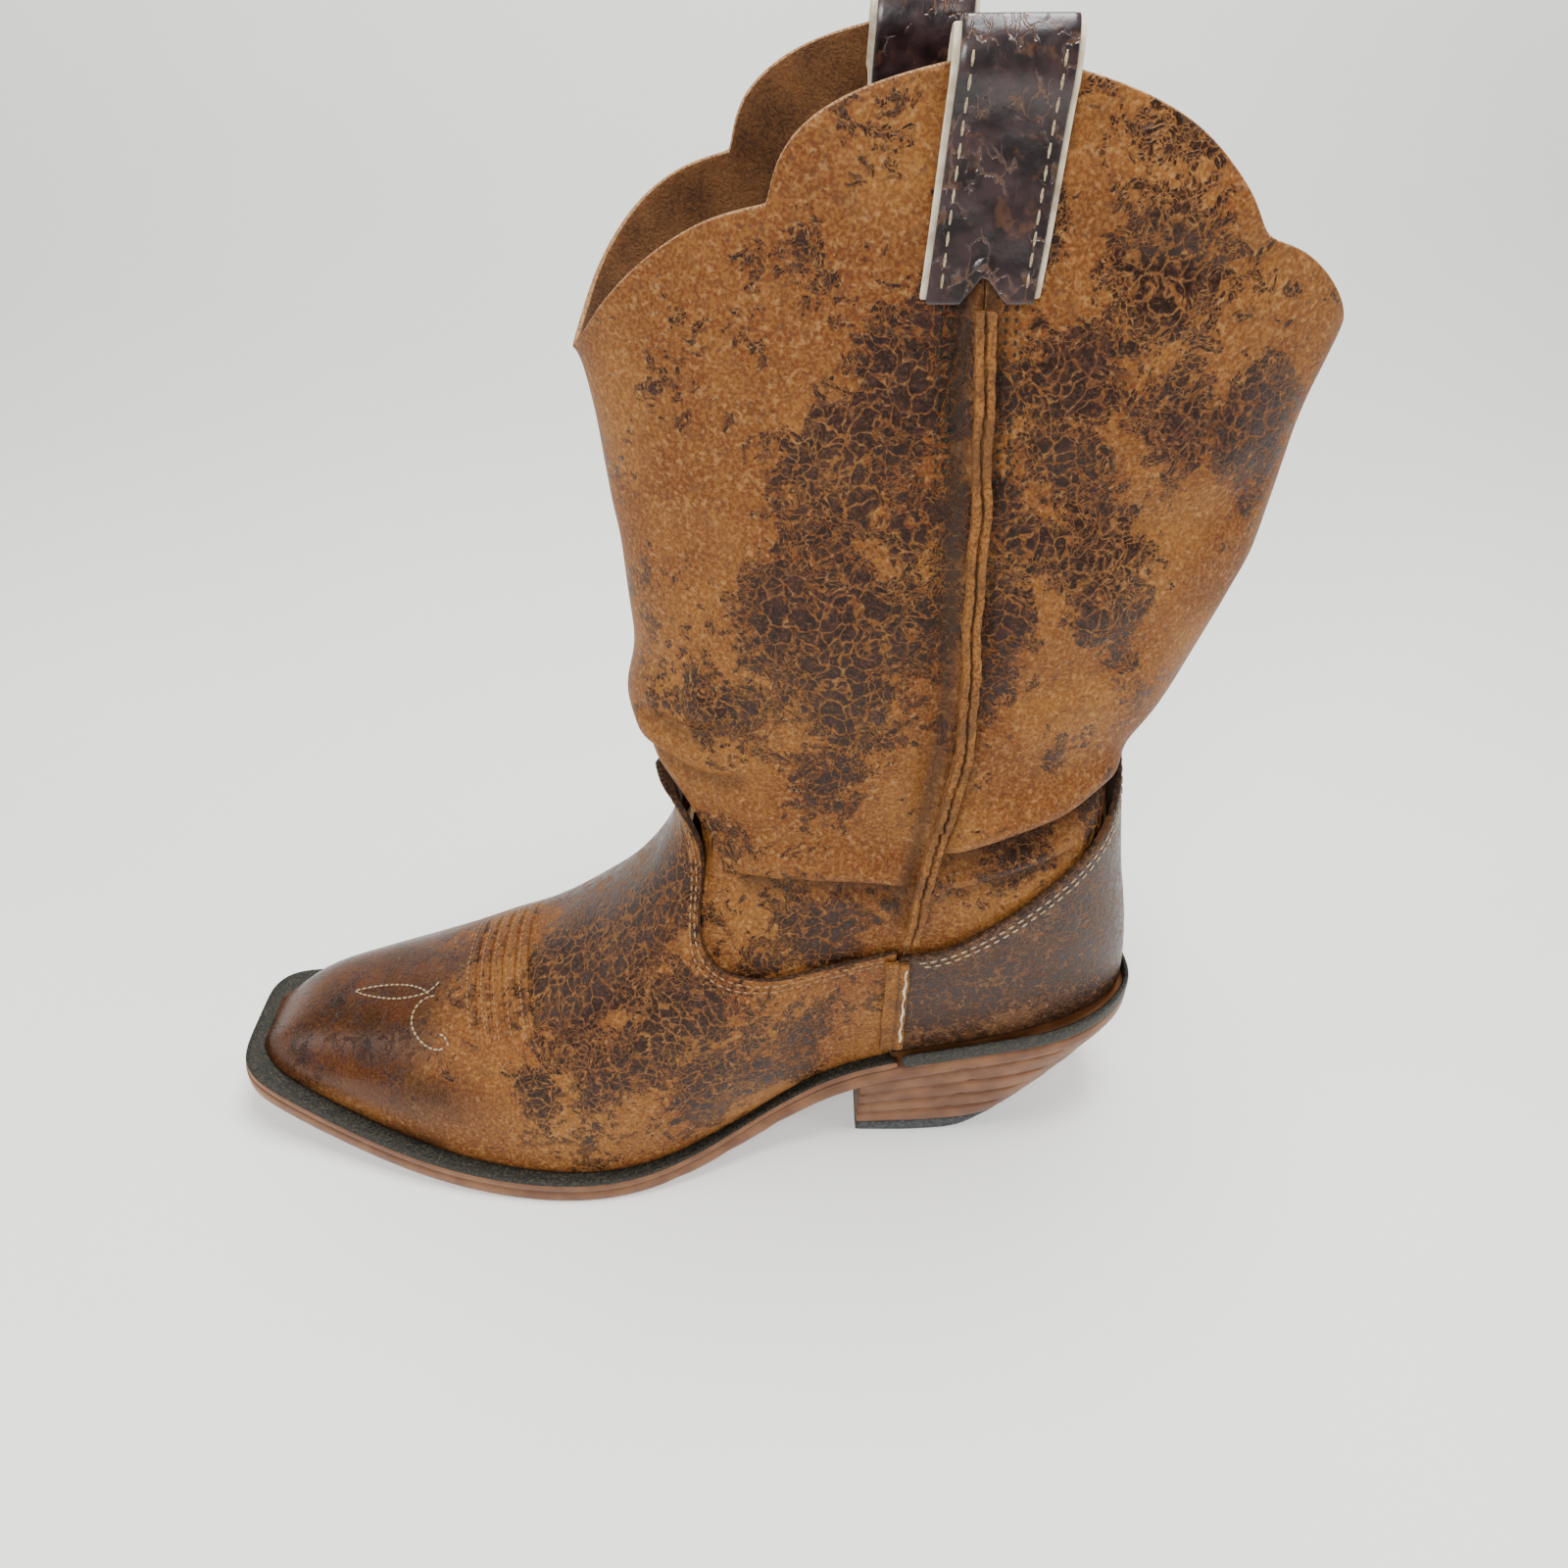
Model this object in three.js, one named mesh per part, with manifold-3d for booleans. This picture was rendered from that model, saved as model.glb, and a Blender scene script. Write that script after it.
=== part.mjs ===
// A western boot for the left foot: sewn leather upper on a welted, nailed and pegged leather sole.
// Millimetres. +Z is up, the toe points to -X, the outer side of the foot to -Y.
// While it is drawn, x runs from 0 at the tip of the outsole to SOLE_LENGTH at the back of the heel
// seat. The last lines move the whole boot so that its box stands centred on the origin.
import * as THREE from 'three';
import { mergeVertices } from 'three/addons/utils/BufferGeometryUtils.js';
import Module from 'manifold-3d';

// ---- driving dimensions -------------------------------------------------------------------------
const SOLE_LENGTH = 305;
const TOE_CORNER = 9; // corner radius of the square toe
const HEEL_ROUND = 40; // length of the rounded back of the heel seat
const OUTSOLE = 5.2; // thickness of each layer of the bottom
const WELT = 2.7;
const INSOLE = 3;
const SOCK = 1.4;
const TOP_LIFT = 7;
const LEATHER = 2; // thickness of the leathers of the upper
const LINING = 1.1;
const STIFFENER = 1.3;
const GAP = 0.3; // left between pieces that touch
const FEATHER = OUTSOLE + WELT + 3 * GAP; // height of the upper's lower edge over the sole's bottom
const SEAM_X = 234; // side seam at mid shaft
const JOINT_X = 222.3; // where the vamp meets the counter cover
const LAP = 6; // how far the shaft runs on under the vamp and the counter cover
const STRAP_WIDTH = 23.5;
const STRAP_FOOT = 283; // height of the lower end of a pull strap
const SHAFT_TOP = 331.5; // height of the top edge at the pull straps
const FIN_WIDTH = 6.2; // side seam: the two raw edges and the welt between them
const FIN_HEIGHT = 4.6;
const HEEL_BREAST = 212;
const HEEL_FOOT_BACK = 264; // back of the heel where it meets the ground
const LIFTS = 4;
const SKEW = { [-1]: 0.12, [1]: 0.24 }; // how far the worn shaft's two sides lean, as a share of y

// ---- small tools --------------------------------------------------------------------------------
const { mapLinear, lerp, smoothstep, clamp } = THREE.MathUtils;
const NEAR = -1; // sides of the boot, as the sign of y
const FAR = 1;

// A smooth function through a few stations [input, output], straight on beyond them.
function profile(...stations) {
  const last = stations.length - 1;
  const slopes = stations.map((_, i) => {
    const [x0, y0] = stations[Math.max(i - 1, 0)];
    const [x1, y1] = stations[Math.min(i + 1, last)];
    return (y1 - y0) / (x1 - x0);
  });
  return (x) => {
    if (x <= stations[0][0]) return stations[0][1] + slopes[0] * (x - stations[0][0]);
    if (x >= stations[last][0]) return stations[last][1] + slopes[last] * (x - stations[last][0]);
    const i = stations.findIndex(([end]) => end > x) - 1;
    const [x0, y0] = stations[i];
    const [x1, y1] = stations[i + 1];
    const h = x1 - x0;
    const t = (x - x0) / h;
    const start = (1 + 2 * t) * (1 - t) ** 2 * y0 + t * (1 - t) ** 2 * h * slopes[i];
    return start + t * t * (3 - 2 * t) * y1 + t * t * (t - 1) * h * slopes[i + 1];
  };
}

// A block divided into across x along cells, each corner moved by place(u, v, w) with u, v, w in 0..1.
function bent(across, along, place) {
  const geometry = new THREE.BoxGeometry(1, 1, 1, across, along, 1);
  geometry.deleteAttribute('normal');
  geometry.deleteAttribute('uv');
  const block = mergeVertices(geometry);
  const at = block.attributes.position;
  for (let i = 0; i < at.count; i += 1) {
    const p = place(at.getX(i) + 0.5, at.getY(i) + 0.5, at.getZ(i) + 0.5);
    at.setXYZ(i, p.x, p.y, p.z);
  }
  return facingOut(block);
}

function signedVolume(geometry) {
  const at = geometry.attributes.position;
  const corner = (i) => new THREE.Vector3().fromBufferAttribute(at, geometry.index.getX(i));
  let volume = 0;
  for (let i = 0; i < geometry.index.count; i += 3) {
    volume += corner(i).dot(corner(i + 1).cross(corner(i + 2))) / 6;
  }
  return volume;
}

// Turns every triangle over if the block was bent inside out.
function facingOut(geometry) {
  if (signedVolume(geometry) < 0) {
    const { array } = geometry.index;
    for (let i = 0; i < array.length; i += 3) [array[i], array[i + 1]] = [array[i + 1], array[i]];
  }
  return geometry;
}

// A sheet of leather on surface(u, v), from inner to outer measured along the surface's normal.
// outwards(p) is any direction that leaves the boot at p. It ends above the welt, however it leans.
function sheet(across, along, surface, inner, outer, outwards) {
  const step = 0.004;
  return bent(across, along, (u, v, w) => {
    const p = surface(u, v);
    const du = surface(Math.min(u + step, 1), v).sub(surface(Math.max(u - step, 0), v));
    const dv = surface(u, Math.min(v + step, 1)).sub(surface(u, Math.max(v - step, 0)));
    const normal = du.cross(dv).normalize();
    if (normal.dot(outwards(p)) < 0) normal.negate();
    p.addScaledVector(normal, lerp(inner, outer, w));
    return p.setZ(Math.max(p.z, soleBottom(p.x) + FEATHER - 0.15));
  });
}

const wasm = await Module();
wasm.setup();

function toSolid(geometry) {
  const numbers = geometry.attributes.position.array;
  const triangles = geometry.index.array;
  const mesh = {
    numProp: 3,
    vertProperties: Float32Array.from(numbers),
    triVerts: Uint32Array.from(triangles),
  };
  return new wasm.Manifold(new wasm.Mesh(mesh));
}

// geometry with round holes of the given posts cut through it.
function drilled(geometry, posts) {
  const cut = posts.reduce((solid, post) => solid.subtract(toSolid(post)), toSolid(geometry)).getMesh();
  const result = new THREE.BufferGeometry();
  result.setAttribute('position', new THREE.BufferAttribute(cut.vertProperties, 3));
  result.setIndex(new THREE.BufferAttribute(cut.triVerts, 1));
  return result;
}

// An upright round post from low to high, as a closed geometry with shared corners.
function post(x, y, low, high, radius, sides = 10) {
  const geometry = new THREE.CylinderGeometry(radius, radius, high - low, sides);
  geometry.rotateX(Math.PI / 2).translate(x, y, (low + high) / 2);
  geometry.deleteAttribute('normal');
  geometry.deleteAttribute('uv');
  return mergeVertices(geometry);
}

// ---- the sole's plan and side view --------------------------------------------------------------
const soleBottom = profile(
  [0, 17], [20, 11.2], [40, 6.8], [60, 3.6], [80, 1.4], [100, 0.1], [112, 0], [130, 0],
  [146, 1.6], [164, 6.3], [183, 13.6], [197, 20], [212, 26.5], [230, 31.5], [255, 36.5], [305, 45],
);
const outerSide = profile(
  [0, 25], [20, 34], [40, 42], [60, 49.5], [80, 55.3], [100, 58.8], [120, 60], [140, 57.2],
  [160, 50], [180, 40.5], [197, 35], [215, 33.4], [240, 33.6], [265, 32.5], [305, 31],
);
const innerSide = profile(
  [0, 24], [20, 31], [40, 37], [60, 42], [80, 46], [98, 48], [115, 47.2], [130, 43.6],
  [150, 35.5], [170, 28], [188, 25], [205, 26], [225, 29], [250, 30.5], [305, 30],
);

function halfWidth(side, x) {
  const straight = side === NEAR ? outerSide(x) : innerSide(x);
  const corner = TOE_CORNER - clamp(x, 0, TOE_CORNER);
  const cut = TOE_CORNER - Math.sqrt(TOE_CORNER ** 2 - corner ** 2);
  const back = clamp((x - SOLE_LENGTH + HEEL_ROUND) / HEEL_ROUND, 0, 1);
  return (straight - cut) * Math.sqrt(1 - back ** 2.2);
}

// The point of the plan at (x, y), moved in from the sole's edge by distance.
function movedIn(x, y, distance) {
  const half = halfWidth(y < 0 ? NEAR : FAR, x);
  return [
    distance + (x * (SOLE_LENGTH - 2 * distance)) / SOLE_LENGTH,
    y * (1 - distance / Math.max(half, 28)),
  ];
}

// Half the width, at x, of the plan moved in by distance.
function halfWidthIn(side, x, distance) {
  const drawn = ((x - distance) * SOLE_LENGTH) / (SOLE_LENGTH - 2 * distance);
  return Math.abs(movedIn(drawn, side * halfWidth(side, drawn), distance)[1]);
}

// One flat layer of the bottom between two x, moved in, with heights over the sole's bottom.
function soleLayer(from, to, distance, low, high, cells = [26, 8]) {
  return bent(cells[0], cells[1], (u, v, w) => {
    const drawn = lerp(from, to, (1 - Math.cos(Math.PI * u)) / 2);
    const y = lerp(-halfWidth(NEAR, drawn), halfWidth(FAR, drawn), v);
    const [x, yIn] = movedIn(drawn, y, distance);
    return new THREE.Vector3(x, yIn, soleBottom(x) + lerp(low, high, w));
  });
}

// The sole's edge from the back round the outer side, the toe and the inner side, as a curve.
const edgeCurve = (() => {
  const points = [];
  const last = SOLE_LENGTH - 0.6;
  for (let i = 0; i <= 40; i += 1) {
    const x = (last * (1 + Math.cos((Math.PI * i) / 40))) / 2;
    points.push(new THREE.Vector2(x, -halfWidth(NEAR, x)));
  }
  for (let i = 1; i < 6; i += 1) {
    points.push(new THREE.Vector2(0, lerp(-halfWidth(NEAR, 0), halfWidth(FAR, 0), i / 6)));
  }
  for (let i = 0; i <= 40; i += 1) {
    const x = (last * (1 - Math.cos((Math.PI * i) / 40))) / 2;
    points.push(new THREE.Vector2(x, halfWidth(FAR, x)));
  }
  return new THREE.SplineCurve(points);
})();
edgeCurve.arcLengthDivisions = 600;

// How far along the edge curve a side passes x, as a fraction of the curve's length.
function fractionAt(side, x) {
  let [low, high] = side === NEAR ? [0, 0.5] : [0.5, 1];
  for (let i = 0; i < 24; i += 1) {
    const middle = (low + high) / 2;
    if (edgeCurve.getPointAt(middle).x > x === (side === NEAR)) low = middle;
    else high = middle;
  }
  return low;
}

// ---- the shape of the foot and leg inside the upper ---------------------------------------------
// In side view the front half is a fan of lines, each from a base on the sole's edge or the seam line
// to the ridge: the top of the foot and, higher up, the front of the leg. A line's level grows from
// the toe to the top, and on the leg it is the height. [level, ridge x, ridge z, base x, base z]
const TOE_FRONT = 7.6; // x of the upper's front edge
const TOE_ROUND = 10; // how far back the toe's front face runs before the top
const TOE_LEVEL = -55;
const fan = [
  [-48, 14, 35, 14, 26], [-30, 32, 39.5, 32, 20], [-6, 57, 45.5, 57, 12], [19, 82, 55, 82, 8],
  [38, 101, 63, 101, 8], [56, 117, 72.5, 120, 8], [73, 131, 84, 140, 9], [85, 140, 92.5, 160, 12],
  [98, 148, 102.5, 186, 22], [111, 154.3, 114, 212, 35], [121, 157, 124, 231, 46],
  [130, 155.2, 132, SEAM_X, 74],
  [139, 150.5, 140, SEAM_X, 103], [148, 147.4, 148, SEAM_X, 128], [163, 145.4, 163, SEAM_X, 155],
  [180, 144.5, 180, SEAM_X, 179], [200, 143.2, 200, SEAM_X, 200], [231, 140, 231, SEAM_X, 231],
  [252, 136.5, 252, SEAM_X, 252], [263, 134, 263, SEAM_X, 263], [300, 126, 300, SEAM_X, 300],
  [337, 119, 337, SEAM_X, 337],
];
const fanPart = (column) => profile(...fan.map((line) => [line[0], line[column]]));
const [ridgeX, ridgeZ, baseX, baseZ] = [1, 2, 3, 4].map(fanPart);
const backOfLeg = profile(
  [44, 300], [58, 300.2], [72, 299], [88, 296.4], [104, 293], [117, 291.6], [130, 289.6],
  [141, 288.6], [150, 292], [160, 298], [170, 303], [180, 307], [192, 311], [209, 317.5],
  [221, 320], [237, 322], [252, 324.5], [266, 328], [300, 334], [337, 339],
);
const legHalfWidth = {
  [NEAR]: profile(
    [40, 27], [50, 28], [65, 31], [90, 35], [120, 36], [150, 36], [200, 37], [260, 34], [335, 29],
  ),
  [FAR]: profile(
    [40, 25], [50, 26], [65, 29], [90, 31.5], [120, 31.5], [150, 33], [200, 36], [260, 39], [335, 41],
  ),
};
const weltWidth = profile([0, 5.6], [130, 5.4], [180, 3.6], [215, 2.6], [305, 2.3]);
const sideBulge = profile([0, 0.5], [60, 1.5], [120, 2], [150, 5], [185, 9.5], [225, 6]);
// Exponents of the rounded sections, where 2 is an ellipse and more is squarer.
const frontRoundness = profile(
  [-55, 3], [0, 2.8], [50, 2.4], [85, 2.5], [105, 2.7], [135, 2.6], [160, 2.4], [210, 2.05], [337, 2],
);
const backRoundness = profile([40, 2.2], [120, 2.2], [210, 2.05], [337, 2]);

const featherHeight = (x) => soleBottom(x) + FEATHER;
const featherHalf = (side, x) => halfWidthIn(side, x, weltWidth(x) + LEATHER);

// The two ends of the fan's line at a level. The toe's front face rounds over into its top.
function fanLine(level) {
  const base = new THREE.Vector2(Math.min(baseX(level), SEAM_X), 0);
  base.y = Math.max(featherHeight(base.x), level > 100 ? baseZ(level) : 0);
  const front = clamp((TOE_LEVEL + TOE_ROUND - level) / TOE_ROUND, 0, 1);
  const full = Math.max(level, TOE_LEVEL + TOE_ROUND);
  const ridge = new THREE.Vector2(ridgeX(level), ridgeZ(full));
  ridge.y = base.y + (ridge.y - base.y) * Math.sqrt(1 - front ** 2.4);
  return [base, ridge];
}

// Half the widest width of the foot or leg at (x, z), before its section rounds off.
function fullHalf(side, x, z) {
  const above = Math.max(z - featherHeight(x), 0);
  const foot = featherHalf(side, Math.min(x, JOINT_X)) + sideBulge(x) * (1 - Math.exp(-above / 14));
  const leg = Math.max(smoothstep(z, 92, 122), smoothstep(x, 182, JOINT_X));
  return lerp(foot, legHalfWidth[side](z), leg);
}

// A point of the front half: angle runs from 0 at the fan line's base to 90 degrees at its ridge.
function onFan(side, level, angle) {
  const [base, ridge] = fanLine(level);
  const power = 2 / frontRoundness(level);
  const { x, y: z } = base.lerp(ridge, Math.sin(angle) ** power);
  return new THREE.Vector3(x, side * fullHalf(side, x, z) * Math.cos(angle) ** power, z);
}

// The level and angle of a point given in side view.
function fanAt(x, z) {
  let [low, high] = [TOE_LEVEL, 345];
  for (let i = 0; i < 34; i += 1) {
    const level = (low + high) / 2;
    const [base, ridge] = fanLine(level);
    if ((ridge.x - base.x) * (z - base.y) - (ridge.y - base.y) * (x - base.x) > 0) high = level;
    else low = level;
  }
  const [base, ridge] = fanLine(low);
  const share = clamp(Math.hypot(x - base.x, z - base.y) / base.distanceTo(ridge), 0, 1);
  return { level: low, angle: Math.asin(share ** (frontRoundness(low) / 2)) };
}

// A point of the upper's side given in side view, away from the ridge.
function onSide(side, x, z) {
  if (x < SEAM_X) {
    const { level, angle } = fanAt(x, z);
    const half = fullHalf(side, x, z) * Math.cos(angle) ** (2 / frontRoundness(level));
    return new THREE.Vector3(x, side * half, z);
  }
  return onBack(side, turnAt(x, z), z);
}

// A point of the back half at a height: turn is 90 degrees at the seam line and 180 at the back.
function onBack(side, turn, z) {
  const power = 2 / backRoundness(clamp(z, 40, 337));
  const x = SEAM_X + Math.abs(Math.cos(turn)) ** power * (backOfLeg(z) - SEAM_X);
  return new THREE.Vector3(x, side * legHalfWidth[side](z) * Math.abs(Math.sin(turn)) ** power, z);
}

const turnAt = (x, z) => {
  const share = clamp((x - SEAM_X) / (backOfLeg(z) - SEAM_X), 0, 1);
  return Math.acos(-(share ** (backRoundness(clamp(z, 40, 337)) / 2)));
};

// The worn shaft stands a little askew: its inner side leans towards the toe near the top.
const skewed = (p) => p.setX(p.x - SKEW[p.y < 0 ? NEAR : FAR] * p.y * smoothstep(p.z, 160, 330));

// ---- outlines of the leathers, in side view -----------------------------------------------------
const flat = (points) => points.map(([x, z]) => new THREE.Vector2(x, z));
const throat = new THREE.SplineCurve(flat([
  [147.6, 146], [151, 140], [156, 134], [161, 127.5], [164.2, 119], [164, 110], [162.6, 101],
  [164.5, 92], [172, 85.5], [187, 82.2], [205, 85], [JOINT_X, 91],
]));
const counterTop = new THREE.SplineCurve(flat([
  [288.6, 141], [288, 135], [284.5, 128], [279, 122], [273, 117], [266, 112], [257, 105],
  [247, 98], [236, 91], [JOINT_X + 0.8, 88.5],
]));
const bezier = (...points) => new THREE.CubicBezierCurve(...flat(points));
const topEdge = {
  front: [
    bezier([134, 262.5], [141, 276], [158, 300], [181, 302]),
    bezier([181, 302], [180, 322], [196, 331], [SEAM_X, SHAFT_TOP]),
  ],
  back: [
    bezier([327.5, 264.5], [318, 284], [303, 295], [291, 294]),
    bezier([291, 294], [289, 318], [268, 331], [SEAM_X, SHAFT_TOP]),
  ],
};
const sideSeam = profile(
  [70, 222.5], [88, 225], [102, 227], [116, 228.5], [132, 231], [146, 234], [163, 236.5], [180, 237],
  [197, 235.5], [225, 234.5], [255, 232.5], [288, 230], [335, 229],
);

// w runs from 0 at the front or back middle to 1 at the side seam.
function topEdgeAt(lobes, w) {
  const [outer, inner] = lobes;
  return w < 0.5 ? outer.getPoint(w * 2) : inner.getPoint(w * 2 - 1);
}

// ---- the leathers of the upper ------------------------------------------------------------------
const fromAxis = (p) => new THREE.Vector3(p.x - SEAM_X, p.y * 3, 0);
const fromFoot = (p) => {
  const tongue = smoothstep(p.z, 80, 115);
  const height = Math.max(p.z - soleBottom(p.x) - 20, 1);
  return new THREE.Vector3(Math.min(p.x - 60, 0) - 45 * tongue, p.y, height * (1 - tongue));
};
const sideOf = (u) => (u < 0.5 ? NEAR : FAR);

// A point of an outline in side view, with its way across the leather it bounds, both as levels and
// angles. REACH turns an angle into millimetres round the section.
const REACH = 45;
function outlineAt(curve, w) {
  const [before, after] = [Math.max(w - 0.01, 0), Math.min(w + 0.01, 1)].map((at) => curve.getPointAt(at));
  const [from, to] = [before, after].map(({ x, y }) => fanAt(x, y));
  const along = new THREE.Vector2(to.level - from.level, (to.angle - from.angle) * REACH).normalize();
  const middle = smoothstep(w, 0, 0.1);
  const { x, y } = curve.getPointAt(w);
  const { level, angle } = fanAt(x, y);
  return { x, z: y, level, angle, across: new THREE.Vector2(lerp(1, -along.y, middle), along.x * middle) };
}

// Vamp: u from the outer joint round the toe to the inner joint, v from the sole up to the throat.
function vampLine(u) {
  const side = sideOf(u);
  const w = Math.abs(2 * u - 1);
  const TOE_SHARE = 0.13;
  const round = clamp(1 - w / TOE_SHARE, 0, 1);
  const along = clamp((w - TOE_SHARE) / (1 - TOE_SHARE), 0, 1);
  const startX = lerp(TOE_FRONT, JOINT_X, along ** 1.25);
  const start = { level: round > 0 ? TOE_LEVEL : fanAt(startX, featherHeight(startX) + 0.01).level };
  start.angle = (Math.PI / 2) * round;
  const edge = outlineAt(throat, w ** 0.92);
  const room = (Math.PI / 2 - edge.angle) / 2;
  const lift = edge.across.y < 0 ? 0.22 * clamp((edge.level - 106) / 20, 0, 1) : 0.3;
  const ease = clamp(along * 6, 0, 1);
  const line = new THREE.CubicBezierCurve(
    new THREE.Vector2(start.level, start.angle),
    new THREE.Vector2(start.level + 40 * (1 - ease), start.angle + lerp(0.7 * (1 - round), 0.35, ease)),
    new THREE.Vector2(
      edge.level - lerp(12, 30, smoothstep(w, 0, 0.3)) * edge.across.x,
      edge.angle + Math.min(-lift * edge.across.y, room),
    ),
    new THREE.Vector2(edge.level, edge.angle),
  );
  const upright = smoothstep(w, 0.5, 0.9);
  return (v) => {
    const at = line.getPoint(v);
    const p = onFan(side, at.x, clamp(at.y, 0, Math.PI / 2));
    if (upright === 0) return p;
    const beside = onSide(side, lerp(startX, edge.x, v), lerp(featherHeight(startX), edge.z, v));
    return p.lerp(beside, upright);
  };
}

function vampSurface(low = 0, high = 1, left = 0, right = 1) {
  const lines = new Map();
  return (u, v) => {
    const at = lerp(left, right, u);
    if (!lines.has(at)) lines.set(at, vampLine(at));
    return lines.get(at)(1 - (1 - lerp(low, high, v)) ** 1.4); // finer rows towards the throat
  };
}

// Counter cover: u from the outer joint round the heel to the inner joint, v from the seat up.
function counterSurface(low = 0, high = 1, left = 0, right = 1) {
  return (s, t) => {
    const u = lerp(left, right, s);
    const w = Math.abs(2 * u - 1);
    const side = sideOf(u);
    const edge = counterTop.getPointAt(w);
    const turn = Math.PI - (Math.PI / 2) * Math.min(w / 0.8, 1);
    const seat = featherHeight(onBack(side, turn, 50).x);
    const v = lerp(low, high, t);
    const foot = w < 0.8 ? onBack(side, turn, seat).x : lerp(SEAM_X, JOINT_X + 0.8, (w - 0.8) * 5);
    const below = featherHeight(foot);
    const z = lerp(below, edge.y, v);
    const turned = lerp(turn, turnAt(edge.x, edge.y), v);
    if (edge.x > SEAM_X && w < 0.8) return onBack(side, turned, z);
    return onSide(side, lerp(foot, edge.x, v), z);
  };
}

const HOLLOW_ROOM = 2; // how much deeper the front panel lies under the tongue, in front of the ankle

// Front shaft panel: u from the outer side seam to the inner one, v from under the vamp to the top.
function frontPanel() {
  const lines = new Map();
  const lineAt = (w) => {
    const edge = outlineAt(throat, w ** 0.9);
    const lapped = new THREE.Vector2(
      edge.level - LAP * edge.across.x,
      edge.angle - (LAP / REACH) * edge.across.y,
    );
    const along = throat.getTangentAt(w ** 0.9);
    const below = fanAt(edge.x + LAP * along.y, edge.z - LAP * along.x);
    const start = lapped.lerp(new THREE.Vector2(below.level, below.angle), smoothstep(w, 0.4, 0.6));
    const top = topEdgeAt(topEdge.front, w);
    const end = fanAt(Math.min(top.x, SEAM_X), top.y);
    const turned = 0.55 * Math.min(edge.across.y, 0) * smoothstep(w, 0, 0.3);
    const away = new THREE.Vector2(start.x + 45 * Math.max(edge.across.x, 0.35), start.y + turned);
    return new THREE.QuadraticBezierCurve(start, away, new THREE.Vector2(end.level, end.angle));
  };
  return (u, v) => {
    const w = Math.abs(2 * u - 1);
    if (!lines.has(w)) lines.set(w, lineAt(w));
    const at = lines.get(w).getPoint(v);
    const p = onFan(sideOf(u), at.x, clamp(at.y, 0, Math.PI / 2));
    p.x += HOLLOW_ROOM * Math.exp(-(((p.z - 126) / 12) ** 2)) * smoothstep(185 - p.x, 0, 20);
    if (w > 0.3) p.lerp(onSide(sideOf(u), sideSeam(p.z) - GAP, p.z), w ** 6);
    return skewed(p);
  };
}

// Back shaft panel: the same from under the counter cover.
function backPanel(u, v) {
  const w = Math.abs(2 * u - 1);
  const edge = counterTop.getPointAt(w ** 0.9);
  const along = counterTop.getTangentAt(w ** 0.9);
  const under = edge.y - LAP * Math.max(Math.abs(along.x), 0.4);
  const top = topEdgeAt(topEdge.back, w);
  const z = lerp(under, top.y, v);
  const p = onBack(sideOf(u), lerp(turnAt(edge.x, edge.y), turnAt(top.x, top.y), v), z);
  return skewed(p.lerp(onSide(sideOf(u), sideSeam(z) + GAP, z), w ** 6));
}

// ---- assembly -----------------------------------------------------------------------------------
const boot = new THREE.Group();

function finish(color, roughness, metalness = 0) {
  return new THREE.MeshStandardMaterial({ color, roughness, metalness });
}

const TAN = finish(0x9a6330, 0.5);
const DARK = finish(0x5a3320, 0.4);
const STRAP = finish(0x3a1f1d, 0.3);
const PALE = finish(0xd8c8a4, 0.6);
const LINING_TAN = finish(0xb98a55, 0.8);
const SOLE_TAN = finish(0x7d4a30, 0.55);
const BLACK = finish(0x1d1f1c, 0.5);
const RUBBER = finish(0x33363a, 0.8);
const BOARD = finish(0x6b4a30, 0.8);
const CORK = finish(0x9b7a50, 0.9);
const STEEL = finish(0x8c9094, 0.35, 1);
const WOOD = finish(0xcfa870, 0.7);

function add(name, geometry, material) {
  const mesh = new THREE.Mesh(geometry, material);
  mesh.name = name;
  boot.add(mesh);
}

// Upper leathers. Offsets are from the shape of the leg: the vamp and the counter cover lie on it,
// the shaft and the linings under it.
const COVER = [0.05, 0.05 + LEATHER];
const SHAFT = [-0.95 - 1.7, -0.95];
const UNDER = [-0.6 - STIFFENER, -0.6];
const INNER = [UNDER[0] - 0.7 - LINING, UNDER[0] - 0.7];

// The pieces under the vamp follow its own grid, so that they lie parallel to it.
const [VAMP_ACROSS, VAMP_ALONG] = [48, 14];
function underVamp(name, across, along, offsets, material) {
  const surface = vampSurface(
    along[0] / VAMP_ALONG, along[1] / VAMP_ALONG, across[0] / VAMP_ACROSS, across[1] / VAMP_ACROSS,
  );
  add(name, sheet(across[1] - across[0], along[1] - along[0], surface, ...offsets, fromFoot), material);
}
underVamp('vamp', [0, VAMP_ACROSS], [0, VAMP_ALONG], COVER, TAN);
add('counter_cover', sheet(26, 7, counterSurface(), ...COVER, fromAxis), DARK);
add('front_shaft_panel', sheet(24, 16, frontPanel(), ...SHAFT, fromAxis), TAN);
add('back_shaft_panel', sheet(22, 16, backPanel, ...SHAFT, fromAxis), TAN);

underVamp('toe_box_stiffener', [16, 32], [1, 4], UNDER, BOARD);
const stiffened = counterSurface(0.06, 0.72, 0.06, 0.94);
add('heel_counter_stiffener', sheet(18, 3, stiffened, ...UNDER, fromAxis), BOARD);
underVamp('vamp_lining', [1, 47], [1, 9], INNER, LINING_TAN);
add('counter_lining', sheet(18, 4, counterSurface(0.04, 0.78, 0.02, 0.98), ...INNER, fromAxis), LINING_TAN);

// Strips, seams and pull straps, one of each per side.
function seamStrip(side, centre, width, low, high, inner, outer, cells) {
  const surface = (u, v) => {
    const z = lerp(low, high, v);
    return skewed(onSide(side, centre(z) + (u - 0.5) * width, z));
  };
  return sheet(...cells, surface, inner, outer, fromAxis);
}

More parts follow.
